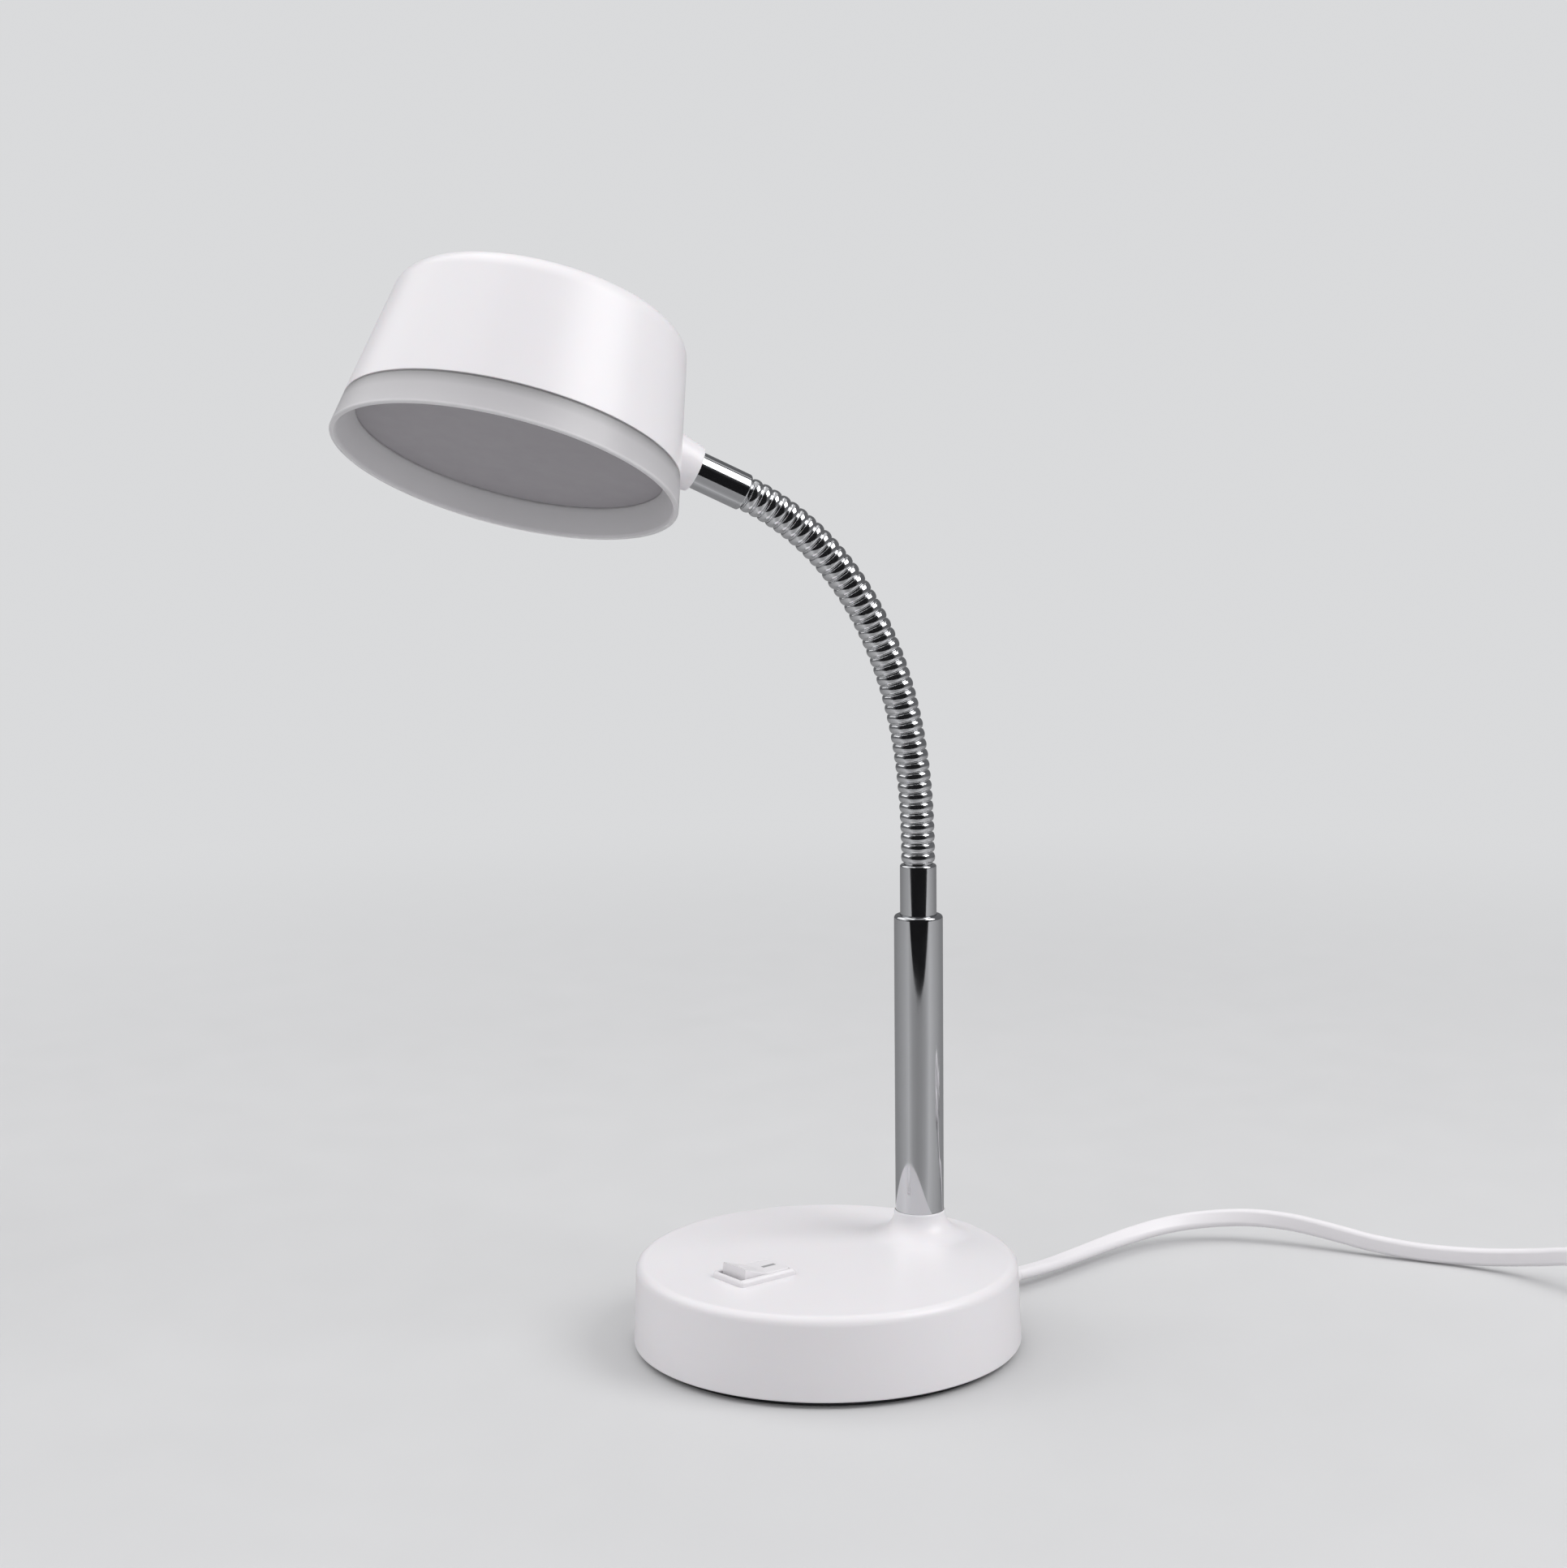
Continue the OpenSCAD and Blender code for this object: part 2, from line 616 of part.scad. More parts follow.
// ---- cord ----
// Middle line of the stretch that isn't coiled, from the strain relief to the coil
cord_route = [[0, 80, 4.6], [-0.2, 88, 4.4], [-1, 97, 4.2], [-2.1, 106, 4.2], [-3.2, 115, 4.3],
  [-4, 124, 4.6], [-4.4, 133, 5], [-4, 141, 5.5], [-2.4, 149.5, 6.3], [0.4, 157.5, 7],
  [4.2, 164.4, 7.6], [9.2, 170.8, 8.1], [14.9, 176.3, 8.4], [21.4, 181, 8.3], [28.5, 185.1, 7.8],
  [36, 188.5, 6.9], [43.7, 191.7, 5.8], [51.3, 194.7, 4.7], [58.8, 198.2, 3.9], [66.5, 201.9, 3.4],
  [74.2, 205.7, 3.4], [81.9, 209.3, 3.8], [89.8, 212.3, 4.7], [98, 214.8, 6.1], [106.6, 216.4, 7.9],
  [115.8, 217.2, 10.2], [125, 217.4, 12], [134, 217.2, 12.8], [143, 216.6, 12.4], [152, 215.8, 10.8],
  [161, 215, 8.2], [169.5, 214.4, 5.5], [177.5, 214.1, 3.7], [186, 214, 3.1]];
coil_x = 186;
coil_y = 253.5;
coil_mean_r = 32.8;
coil_h = 12.6;
coil_half = 8.6;
// Middle line from the coil to the plug
plug_z = 6.6;
tail_route = [[186, 293, 9.3], [176.5, 293.3, 9.2], [167.5, 292.9, 8.6], [158.5, 292.3, 7.4],
  [149.5, 291.7, 6.8], [142, 291.7, plug_z]];
plug_at = [142, 291.7];

// Smooth point at parameter t along a list of points
function on_route(pts, t) = let (n = len(pts) - 1, i = min(floor(t), n - 1), f = t - i,
  a = pts[max(i - 1, 0)], b = pts[i], c = pts[i + 1], d = pts[min(i + 2, n)])
  0.5 * (2 * b + (c - a) * f + (2 * a - 5 * b + 4 * c - d) * f * f + (3 * b - a - 3 * c + d) * f * f * f);
function unit(v) = v / norm(v);
function heading(pts, t) =
  unit(on_route(pts, min(t + 0.05, len(pts) - 1)) - on_route(pts, max(t - 0.05, 0)));

// Tube along a route, 2a thick and 2b wide. Its width runs as nearly as it can along "up", turned by
// roll degrees at the start, which fades out half way along. It shrinks to its taper at the end.
module swept(pts, a, b, up = [0, 0, 1], sides = 8, per = 2, taper = 1, roll = 0) {
  n = (len(pts) - 1) * per;
  grow = 1 / cos(180 / sides);
  points = [for (i = [0:n]) let (p = on_route(pts, i / per), d = heading(pts, i / per),
    s0 = unit(cross(d, up)), u0 = cross(s0, d), w = 1 + (taper - 1) * i / n, f = min(2 * i / n, 1),
    r = roll * (1 - f * f * (3 - 2 * f)), s = s0 * cos(r) + u0 * sin(r), u = u0 * cos(r) - s0 * sin(r))
    for (k = [0:sides - 1]) let (t = 360 * (k + 0.5) / sides)
      p + s * (a * w * cos(t) * grow) + u * (b * w * sin(t) * grow)];
  tube = [for (i = [0:n - 1], k = [0:sides - 1]) let (c = i * sides + k, d = i * sides + (k + 1) % sides)
    [c, d, d + sides, c + sides]];
  ends = [[for (k = [sides - 1:-1:0]) k], [for (k = [0:sides - 1]) n * sides + k]];
  polyhedron(points = points, faces = concat(tube, ends), convexity = 6);
}

module cord() {
  color(white) swept(cord_route, cord_t / 2, cord_w / 2 - 0.05, roll = 90);
}

module cord_tail() {
  color(white) swept(tail_route, cord_t / 2, cord_w / 2 - 0.05);
}

module cord_coil() {
  r = 3;
  outer = coil_mean_r + coil_half - r;
  inner = coil_mean_r - coil_half + r;
  color(white) translate([coil_x, coil_y, 0]) rotate_extrude() polygon(concat(
    arc(outer, r, r, -90, 0, 3), arc(outer, coil_h - r, r, 0, 90, 3),
    arc(inner, coil_h - r, r, 90, 180, 3), arc(inner, r, r, 180, 270, 3)));
}

// Flat two-pin plug lying on its broad side, its pins pointing away from the lead
module plug_body() {
  half = 17.7;
  color(white) translate([plug_at[0], plug_at[1], 0]) rotate([0, 0, -90]) union() {
    translate([0, 0, 0.1]) linear_extrude(height = 2 * plug_z - 0.2) polygon([[-4.5, -7], [4.5, -7],
      [half - 1, -24], [half, -27], [half, -33], [half - 2, -35], [2 - half, -35], [-half, -33],
      [-half, -27], [1 - half, -24]]);
    block([7.4, 8, 8], [0, -4, plug_z]);
  }
}

module plug_pins() {
  color(brass) for (s = [-1, 1]) translate([plug_at[0] - 35, plug_at[1] + s * 9.3, plug_z])
    rotate([0, -90, 0]) rotate_extrude()
      polygon([[0, 0], [1.9, 0], [1.9, 10], [2, 10], [2, 17.8], [0.9, 19], [0, 19]]);
}

base_cover();
base_plate();
ballast_weight();
foot_pad();
base_screws();
switch_body();
switch_rocker();
switch_terminals();
driver_board();
driver_transformer();
driver_capacitors();
base_leads();
strain_relief();
cord_clamp();
clamp_screws();
post_tube();
post_nipple();
post_washer();
post_nut();
lower_ferrule();
neck_link_01();
neck_link_02();
neck_link_03();
neck_link_04();
neck_link_05();
neck_link_06();
neck_link_07();
neck_link_08();
neck_link_09();
neck_link_10();
neck_link_11();
neck_link_12();
neck_link_13();
neck_link_14();
upper_ferrule();
head_shell();
head_nipple();
head_nut();
heat_sink();
led_board();
led_chips();
head_screws();
diffuser_disc();
diffuser_ring();
cord();
cord_coil();
cord_tail();
plug_body();
plug_pins();
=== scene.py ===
"""Looks of the gooseneck desk lamp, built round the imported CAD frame. Sizes are in millimetres
until MM turns them into metres. The switch is on the -Y side of the base and the post on +Y."""

import math

import bmesh
import bpy
from mathutils import Matrix, Vector


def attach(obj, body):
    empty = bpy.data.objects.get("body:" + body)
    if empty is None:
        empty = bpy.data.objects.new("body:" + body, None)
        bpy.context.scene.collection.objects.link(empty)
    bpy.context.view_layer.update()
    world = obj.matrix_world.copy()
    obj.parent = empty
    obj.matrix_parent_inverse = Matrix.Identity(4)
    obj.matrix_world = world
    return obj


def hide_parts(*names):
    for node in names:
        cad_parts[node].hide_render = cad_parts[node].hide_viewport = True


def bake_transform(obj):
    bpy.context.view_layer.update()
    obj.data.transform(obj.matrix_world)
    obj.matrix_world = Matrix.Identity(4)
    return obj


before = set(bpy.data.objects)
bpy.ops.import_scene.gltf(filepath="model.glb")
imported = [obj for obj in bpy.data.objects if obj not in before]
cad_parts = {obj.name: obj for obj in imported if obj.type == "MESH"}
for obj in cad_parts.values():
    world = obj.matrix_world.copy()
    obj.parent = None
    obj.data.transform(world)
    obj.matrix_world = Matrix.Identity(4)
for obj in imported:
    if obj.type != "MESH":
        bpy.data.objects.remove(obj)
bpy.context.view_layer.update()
MM = 0.001

# ---- sizes shared with the CAD source ----
BASE_R, BASE_TOP_R, BASE_H, BASE_EDGE_R, BASE_WALL = 60.0, 58.9, 27.0, 3.0, 2.4
PAD_T = 1.9
POST_Y, POST_R, POST_TOP = 38.3, 7.65, 129.8
COLLAR_FOOT_R, COLLAR_H = 17.5, 8.0
SWITCH_Y, BEZEL_L, BEZEL_W, BEZEL_T = -28.6, 21.0, 15.0, 1.8
OPENING_L, OPENING_W, CUT_OUT_L, CUT_OUT_W = 18.7, 11.6, 19.5, 12.8
PIVOT_Z, ROCKER_TILT = 25.06, 9.0
FERRULE_R, FERRULE_LEN, FERRULE_IN_SOCKET = 5.7, 16.0, 8.0
NECK_Z, RIB_PITCH, RIBS, LINKS, RIB_R = 146.3, 3.2, 3, 14, 5.3
NECK_BEND, NECK_TURN, EVEN_BEND = 64.5, 23.5, 0.34
HEAD_ROLL, SOCKET_SLOPE, HEAD_REACH, SOCKET_H = 16.1, 6.9, 57.8, 27.0
RING_R, RING_H, RIM_R = 52.1, 10.6, 50.4
HEAD_H, HEAD_TAPER, HEAD_EDGE_R, SHELL_T, CROWN = 52.0, 9.8, 7.2, 2.2, 0.8
DISC_H, DISC_T, DISC_R, DISC_SEEN_R = 8.2, 1.6, 46.8, 46.1
RELIEF_Z = 4.6
CORD_W, CORD_T = 6.0, 3.6
COIL_X, COIL_Y, COIL_IN_R, COIL_OUT_R = 186.0, 253.5, 26.0, 39.5
PLUG_X, PLUG_Y, PLUG_Z, PLUG_LEN, PIN_OFFSET = 142.0, 291.7, 6.6, 35.0, 9.3
CORD_EXIT_Y = 80.0

LINK_LEN = RIBS * RIB_PITCH
NECK_LEN = LINKS * LINK_LEN


# ---- camera, as fitted to the photograph's view, in metres ----
SENSOR_W, LENS = 36, 63.39
CAMERA_PLACE = (0.638351, -0.524097, 0.286346)
CAMERA_RIGHT = (0.62459814, 0.78086762, -0.0110871)
CAMERA_UP = (-0.09788317, 0.09236378, 0.99090253)
CAMERA_BACK = (0.77478774, -0.61783063, 0.13412405)


def make_camera():
    cam = bpy.data.objects.new("camera", bpy.data.cameras.new("camera"))
    bpy.context.scene.collection.objects.link(cam)
    cam.data.sensor_fit = "HORIZONTAL"
    cam.data.sensor_width = SENSOR_W
    cam.data.lens = LENS
    cam.data.clip_start, cam.data.clip_end = 0.01, 50
    axes = [Vector(axis) for axis in (CAMERA_RIGHT, CAMERA_UP, CAMERA_BACK)]
    turn = Matrix(axes).transposed().to_4x4()
    cam.matrix_world = Matrix.Translation(CAMERA_PLACE) @ turn
    bpy.context.scene.camera = cam


make_camera()


# ---- where things are ----
def neck_angle(s):
    """Degrees from upright at a length s along the gooseneck."""
    u = s / NECK_LEN
    return NECK_BEND * (EVEN_BEND * u + (1 - EVEN_BEND) * u * u)


def link_angle(k):
    return neck_angle((k + 0.5) * LINK_LEN) if k < LINKS else NECK_BEND


def neck_plane(reach, height, angle):
    """Frame on the gooseneck's line: Z runs along it."""
    return (Matrix.Translation((0, POST_Y, 0))
            @ Matrix.Rotation(math.radians(-NECK_TURN), 4, "Z")
            @ Matrix.Translation((0, -reach, height))
            @ Matrix.Rotation(math.radians(angle), 4, "X"))


def on_neck(k):
    """Frame at the lower end of rigid length k of the CAD gooseneck."""
    reach, height = 0.0, NECK_Z
    for i in range(k):
        reach += LINK_LEN * math.sin(math.radians(link_angle(i)))
        height += LINK_LEN * math.cos(math.radians(link_angle(i)))
    return neck_plane(reach, height, link_angle(k))


def smooth_neck(s, steps=200):
    """Frame on the smooth curve of the gooseneck at length s."""
    reach, height, ds = 0.0, NECK_Z, s / steps
    for i in range(steps):
        angle = math.radians(neck_angle((i + 0.5) * ds))
        reach += ds * math.sin(angle)
        height += ds * math.cos(angle)
    return neck_plane(reach, height, neck_angle(s))


IN_POST = Matrix.Translation((0, POST_Y, 0))
IN_HEAD = (on_neck(LINKS) @ Matrix.Translation((0, 0, FERRULE_LEN + HEAD_REACH))
           @ Matrix.Rotation(math.radians(HEAD_ROLL), 4, "Z")
           @ Matrix.Rotation(math.radians(SOCKET_SLOPE - 90), 4, "X")
           @ Matrix.Translation((0, 0, -SOCKET_H)))
IN_SOCKET = (IN_HEAD @ Matrix.Translation((0, 0, SOCKET_H))
             @ Matrix.Rotation(math.radians(-90 - SOCKET_SLOPE), 4, "X"))
IN_ROCKER = (Matrix.Translation((0, SWITCH_Y, PIVOT_Z))
             @ Matrix.Rotation(math.radians(-ROCKER_TILT), 4, "X"))


# ---- mesh tools: a shape is (vertices, faces) in millimetres ----
ON_AXIS = 1e-4
WELD, TOO_SMALL = 2e-6, 1e-7
SHARP_ANGLE = 38


def rounded(corners, steps=6, closed=True):
    """Points of an outline whose corners (x, y, radius) are rounded."""
    out = []
    for i, (x, y, radius) in enumerate(corners):
        here = Vector((x, y))
        if radius == 0 or (not closed and i in (0, len(corners) - 1)):
            out.append(here)
            continue
        a = (Vector(corners[i - 1][:2]) - here).normalized()
        b = (Vector(corners[(i + 1) % len(corners)][:2]) - here).normalized()
        half = a.angle(b) / 2
        centre = here + (a + b).normalized() * radius / math.sin(half)
        start = a * radius / math.tan(half) + here - centre
        end = b * radius / math.tan(half) + here - centre
        turn = math.atan2(start.x * end.y - start.y * end.x, start.dot(end))
        for k in range(steps + 1):
            c, s = math.cos(turn * k / steps), math.sin(turn * k / steps)
            out.append(centre + Vector((start.x * c - start.y * s, start.x * s + start.y * c)))
    return out


def skin(rings, closed_rings=True, cap_start=False, cap_end=False, loop=False):
    """Faces between rings of points that all have the same count."""
    n = len(rings[0])
    verts = [p for ring in rings for p in ring]
    faces = []
    for i in range(len(rings) - (0 if loop else 1)):
        a, b = i * n, ((i + 1) % len(rings)) * n
        for k in range(n if closed_rings else n - 1):
            m = (k + 1) % n
            faces.append((a + k, a + m, b + m, b + k))
    if cap_start:
        faces.append(tuple(range(n - 1, -1, -1)))
    if cap_end:
        faces.append(tuple(range((len(rings) - 1) * n, len(rings) * n)))
    return verts, faces


def lathe(profile, turns=128, closed=False):
    """Turns an outline of (radius, height) points round Z."""
    rings = []
    for r, z in profile:
        r = max(r, ON_AXIS)
        rings.append([Vector((r * math.cos(2 * math.pi * k / turns),
                              r * math.sin(2 * math.pi * k / turns), z)) for k in range(turns)])
    return skin(rings, loop=closed)


def moved(shape, matrix):
    return [matrix @ Vector(v) for v in shape[0]], shape[1]


def joined(*shapes):
    verts, faces = [], []
    for v, f in shapes:
        faces += [tuple(i + len(verts) for i in face) for face in f]
        verts += list(v)
    return verts, faces


def mesh_of(name, shape):
    """Mesh in metres from a shape, without doubled points and with its faces turned outwards."""
    mesh = bpy.data.meshes.new(name)
    mesh.from_pydata([Vector(v) * MM for v in shape[0]], [], shape[1])
    work = bmesh.new()
    work.from_mesh(mesh)
    bmesh.ops.remove_doubles(work, verts=work.verts, dist=WELD)
    bmesh.ops.dissolve_degenerate(work, edges=work.edges, dist=TOO_SMALL)
    bmesh.ops.recalc_face_normals(work, faces=work.faces)
    work.to_mesh(mesh)
    work.free()
    return mesh


def piece(name, shape, material, body, replaces=(), sharp=SHARP_ANGLE):
    """Object from a shape, smooth but for real edges; with no body, it is left unattached."""
    mesh = mesh_of(name, shape)
    mesh.polygons.foreach_set("use_smooth", [True] * len(mesh.polygons))
    mesh.set_sharp_from_angle(angle=math.radians(sharp))
    mesh.materials.append(material)
    obj = bpy.data.objects.new(name, mesh)
    bpy.context.scene.collection.objects.link(obj)
    normals = obj.modifiers.new("weighted_normals", "WEIGHTED_NORMAL")
    normals.keep_sharp = True
    if body:
        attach(obj, body)
    if replaces:
        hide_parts(*replaces)
    return obj


def cut(obj, shape):
    """Takes a shape out of an object."""
    cutter = bpy.data.objects.new("cutter", mesh_of("cutter", shape))
    bpy.context.scene.collection.objects.link(cutter)
    boolean = obj.modifiers.new("cut", "BOOLEAN")
    boolean.object, boolean.operation, boolean.solver = cutter, "DIFFERENCE", "EXACT"
    normals = obj.modifiers["weighted_normals"]
    normals.show_viewport = False
    graph = bpy.context.evaluated_depsgraph_get()
    graph.update()
    result = bpy.data.meshes.new_from_object(obj.evaluated_get(graph))
    obj.modifiers.remove(boolean)
    obj.data = result
    result.set_sharp_from_angle(angle=math.radians(SHARP_ANGLE))
    normals.show_viewport = True
    bpy.data.objects.remove(cutter)


def box_shape(low, high):
    (x0, y0, z0), (x1, y1, z1) = low, high
    ring = [(x0, y0), (x1, y0), (x1, y1), (x0, y1)]
    rings = [[Vector((x, y, z)) for x, y in ring] for z in (z0, z1)]
    return skin(rings, cap_start=True, cap_end=True)


def oblong(half_w, half_h, r, steps=5):
    """Outline of a rectangle with round corners about the origin."""
    return rounded([(-half_w, -half_h, r), (half_w, -half_h, r),
                    (half_w, half_h, r), (-half_w, half_h, r)], steps)


def rounded_rect(w, l, r, z):
    """Ring of points of a rectangle with round corners, at height z."""
    return [Vector((x, y, z)) for x, y in oblong(w / 2, l / 2, r)]


# ---- materials ----
# Levels of the noise between which a surface's roughness and its tint change
ROUGHNESS_LEVELS, TINT_LEVELS = (0.3, 0.7), (0.35, 0.65)
# A colour Mix node's inputs and its result
MIX_FACTOR, MIX_A, MIX_B, MIX_RESULT = 0, 6, 7, 2


class Nodes:
    """Small helper that adds shader nodes and links them."""

    def __init__(self, name):
        self.material = bpy.data.materials.new(name)
        self.material.use_nodes = True
        self.tree = self.material.node_tree
        self.shader = self.tree.nodes["Principled BSDF"]

    def set(self, **values):
        for key, value in values.items():
            self.shader.inputs[key.replace("_", " ")].default_value = value

    def add(self, kind, **values):
        """New node; a name is an input's, with _ for a space, or else one of its settings."""
        node = self.tree.nodes.new(kind)
        for key, value in values.items():
            if key.replace("_", " ") in node.inputs:
                node.inputs[key.replace("_", " ")].default_value = value
            else:
                setattr(node, key, value)
        return node

    def link(self, a, out, b, into):
        self.tree.links.new(a.outputs[out], b.inputs[into])

    def coords(self):
        return self.add("ShaderNodeTexCoord")

    def noise(self, scale, detail, stretch=None):
        """Noise in object space, as a Noise Texture node."""
        noise = self.add("ShaderNodeTexNoise", Scale=scale, Detail=detail, Roughness=0.55)
        if stretch:
            mapping = self.add("ShaderNodeMapping", Scale=stretch)
            self.link(self.coords(), "Object", mapping, "Vector")
            self.link(mapping, "Vector", noise, "Vector")
        else:
            self.link(self.coords(), "Object", noise, "Vector")
        return noise

    def roughen(self, noise, low, high):
        """Roughness that follows the noise between low and high."""
        start, end = ROUGHNESS_LEVELS
        ramp = self.add("ShaderNodeMapRange", From_Min=start, From_Max=end, To_Min=low, To_Max=high)
        self.link(noise, "Fac", ramp, "Value")
        self.link(ramp, "Result", self.shader, "Roughness")

    def tint(self, noise, dark, light):
        """Base colour that follows the noise between two colours."""
        ramp = self.add("ShaderNodeValToRGB")
        for stop, at, colour in zip(ramp.color_ramp.elements, TINT_LEVELS, (dark, light)):
            stop.position, stop.color = at, (*colour, 1)
        self.link(noise, "Fac", ramp, "Fac")
        self.link(ramp, "Color", self.shader, "Base Color")

    def ramp(self, tones):
        """Colour Ramp through greys given as (position, tone)."""
        node = self.add("ShaderNodeValToRGB")
        stops = node.color_ramp.elements
        while len(stops) < len(tones):
            stops.new(0.5)
        for stop, (at, tone) in zip(stops, tones):
            stop.position = at
            stop.color = (tone, tone, tone, 1)
        return node

    def times(self, node, out):
        """Multiplies the base colour by another node's colour."""
        mix = self.add("ShaderNodeMix", data_type="RGBA", blend_type="MULTIPLY")
        mix.inputs[MIX_FACTOR].default_value = 1.0
        before = self.shader.inputs["Base Color"].links[0].from_socket
        self.tree.links.new(before, mix.inputs[MIX_A])
        self.link(node, out, mix, MIX_B)
        self.link(mix, MIX_RESULT, self.shader, "Base Color")

    def bump(self, noise, strength, distance):
        bump = self.add("ShaderNodeBump", Strength=strength, Distance=distance)
        self.link(noise, "Fac", bump, "Height")
        self.link(bump, "Normal", self.shader, "Normal")


def shade(colour, factor):
    return tuple(min(1.0, c * factor) for c in colour)


def plastic(name, colour, roughness=0.36, spread=0.004, grain=900, strength=0.05,
            subsurface=0.0):
    """Moulded plastic: faint mottling, slight gloss changes and a fine surface ripple."""
    n = Nodes(name)
    n.tint(n.noise(35, 3), shade(colour, 1 - spread), shade(colour, 1 + spread))
    n.roughen(n.noise(90, 5), roughness * 0.95, roughness * 1.06)
    n.bump(n.noise(grain, 3), strength, 0.00004)
    n.set(IOR=1.5, Subsurface_Weight=subsurface, Subsurface_Scale=0.002)
    return n.material


def metal(name, colour, roughness, stretch=None, grain=400, strength=0.04, spread=0.03):
    """Metal whose gloss changes a little, with fine marks along a direction."""
    n = Nodes(name)
    n.tint(n.noise(60, 4), shade(colour, 1 - spread), shade(colour, 1 + spread))
    n.roughen(n.noise(grain, 5, stretch), roughness * 0.7, roughness * 1.5)
    n.bump(n.noise(grain * 2, 3, stretch), strength, 0.00002)
    n.set(Metallic=1.0)
    return n.material


def frosted(name, colour, roughness, transmission, subsurface):
    """Nodes of a milky satin plastic that lets some light through."""
    n = Nodes(name)
    n.tint(n.noise(25, 3), shade(colour, 0.985), shade(colour, 1.015))
    n.roughen(n.noise(140, 5), roughness * 0.9, roughness * 1.1)
    n.bump(n.noise(2600, 2), 0.12, 0.00004)
    n.set(IOR=1.49, Transmission_Weight=transmission, Subsurface_Weight=subsurface,
          Subsurface_Scale=0.004, Subsurface_Radius=(1.0, 1.0, 1.0))
    return n


# Painted highlight and shade on the frosted ring, as tones from its lip (0) up to the shell (1)
RING_PAINTED_LIGHT = ((0.0, 1.28), (0.05, 1.24), (0.1, 1.02), (0.62, 0.98), (0.8, 0.8), (0.95, 0.55))


def ring_plastic_painted_light():
    """Frosted plastic with a painted highlight at the ring's lip and painted shade where it goes
    into the shell.
    """
    n = frosted("frosted", (0.82, 0.805, 0.822), 0.36, 0.45, 0.1)
    axis = IN_HEAD.to_3x3() @ Vector((0, 0, 1))
    height = n.add("ShaderNodeVectorMath", operation="DOT_PRODUCT")
    height.inputs[1].default_value = axis
    n.link(n.coords(), "Object", height, "Vector")
    lip = IN_HEAD.translation.dot(axis) * MM
    share = n.add("ShaderNodeMapRange", From_Min=lip, From_Max=lip + RING_H * MM)
    n.link(height, "Value", share, "Value")
    ramp = n.ramp(RING_PAINTED_LIGHT)
    n.link(share, "Result", ramp, "Fac")
    # the ramp multiplies a painted highlight at the lip and painted shade under the shell's rim
    # into the colour
    n.times(ramp, "Color")
    return n.material


WHITE = (0.80, 0.779, 0.80)
MATERIALS = {
    "cover_white": plastic("cover_white", WHITE, 0.34, subsurface=0.06),
    "switch_white": plastic("switch_white", shade(WHITE, 0.985), 0.3, grain=1400),
    "cord_white": plastic("cord_white", shade(WHITE, 0.98), 0.42, spread=0.012, grain=1500,
                          strength=0.12),
    "chrome": metal("chrome", (0.62, 0.625, 0.64), 0.05, stretch=(1, 1, 0.15), strength=0.015,
                    spread=0.012),
    "chrome_ribs": metal("chrome_ribs", (0.70, 0.705, 0.72), 0.07, grain=700, strength=0.03),
    "steel": metal("steel", (0.62, 0.63, 0.65), 0.32, stretch=(1, 8, 1)),
    "iron": metal("iron", (0.16, 0.16, 0.17), 0.6, grain=250, strength=0.5),
    "brass": metal("brass", (0.80, 0.66, 0.36), 0.2),
    "nickel": metal("nickel", (0.78, 0.77, 0.74), 0.16, stretch=(1, 1, 6)),
    "alloy": metal("alloy", (0.78, 0.79, 0.8), 0.35, stretch=(10, 1, 1)),
    "foam": plastic("foam", (0.025, 0.025, 0.027), 0.85, spread=0.3, grain=1800, strength=0.9),
    "ink": plastic("ink", (0.33, 0.33, 0.34), 0.45, spread=0.06),
    "board_green": plastic("board_green", (0.03, 0.17, 0.08), 0.35, spread=0.2, grain=600,
                           strength=0.2),
    "board_white": plastic("board_white", (0.82, 0.82, 0.8), 0.5),
    "tape_yellow": plastic("tape_yellow", (0.7, 0.5, 0.06), 0.35, spread=0.1),
    "capacitor_black": plastic("capacitor_black", (0.02, 0.02, 0.024), 0.3, spread=0.2),
    "lead_brown": plastic("lead_brown", (0.16, 0.07, 0.03), 0.4, spread=0.1),
    "chip_yellow": plastic("chip_yellow", (0.85, 0.7, 0.2), 0.35, spread=0.05),
    # the ring's colour carries a painted highlight at the lip and painted shade under the shell
    "frosted": ring_plastic_painted_light(),
    "diffuser": frosted("diffuser", (0.30, 0.285, 0.303), 0.5, 0.0, 0.2).material,
}

NODE_MATERIAL = {
    "base_plate": "steel", "ballast_weight": "iron", "base_screws": "steel",
    "switch_terminals": "brass", "driver_board": "board_green",
    "driver_transformer": "tape_yellow", "driver_capacitors": "capacitor_black",
    "base_leads": "lead_brown", "cord_clamp": "switch_white", "clamp_screws": "steel",
    "post_nipple": "steel", "post_washer": "steel", "post_nut": "brass",
    "head_nipple": "steel", "head_nut": "brass", "heat_sink": "alloy", "led_board": "board_white",
    "led_chips": "chip_yellow", "head_screws": "steel",
}


def dress_nodes():
    """Gives the inner CAD pieces, which stay as they are, their materials."""
    for node, material in NODE_MATERIAL.items():
        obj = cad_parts[node]
        obj.data.materials.clear()
        obj.data.materials.append(MATERIALS[material])


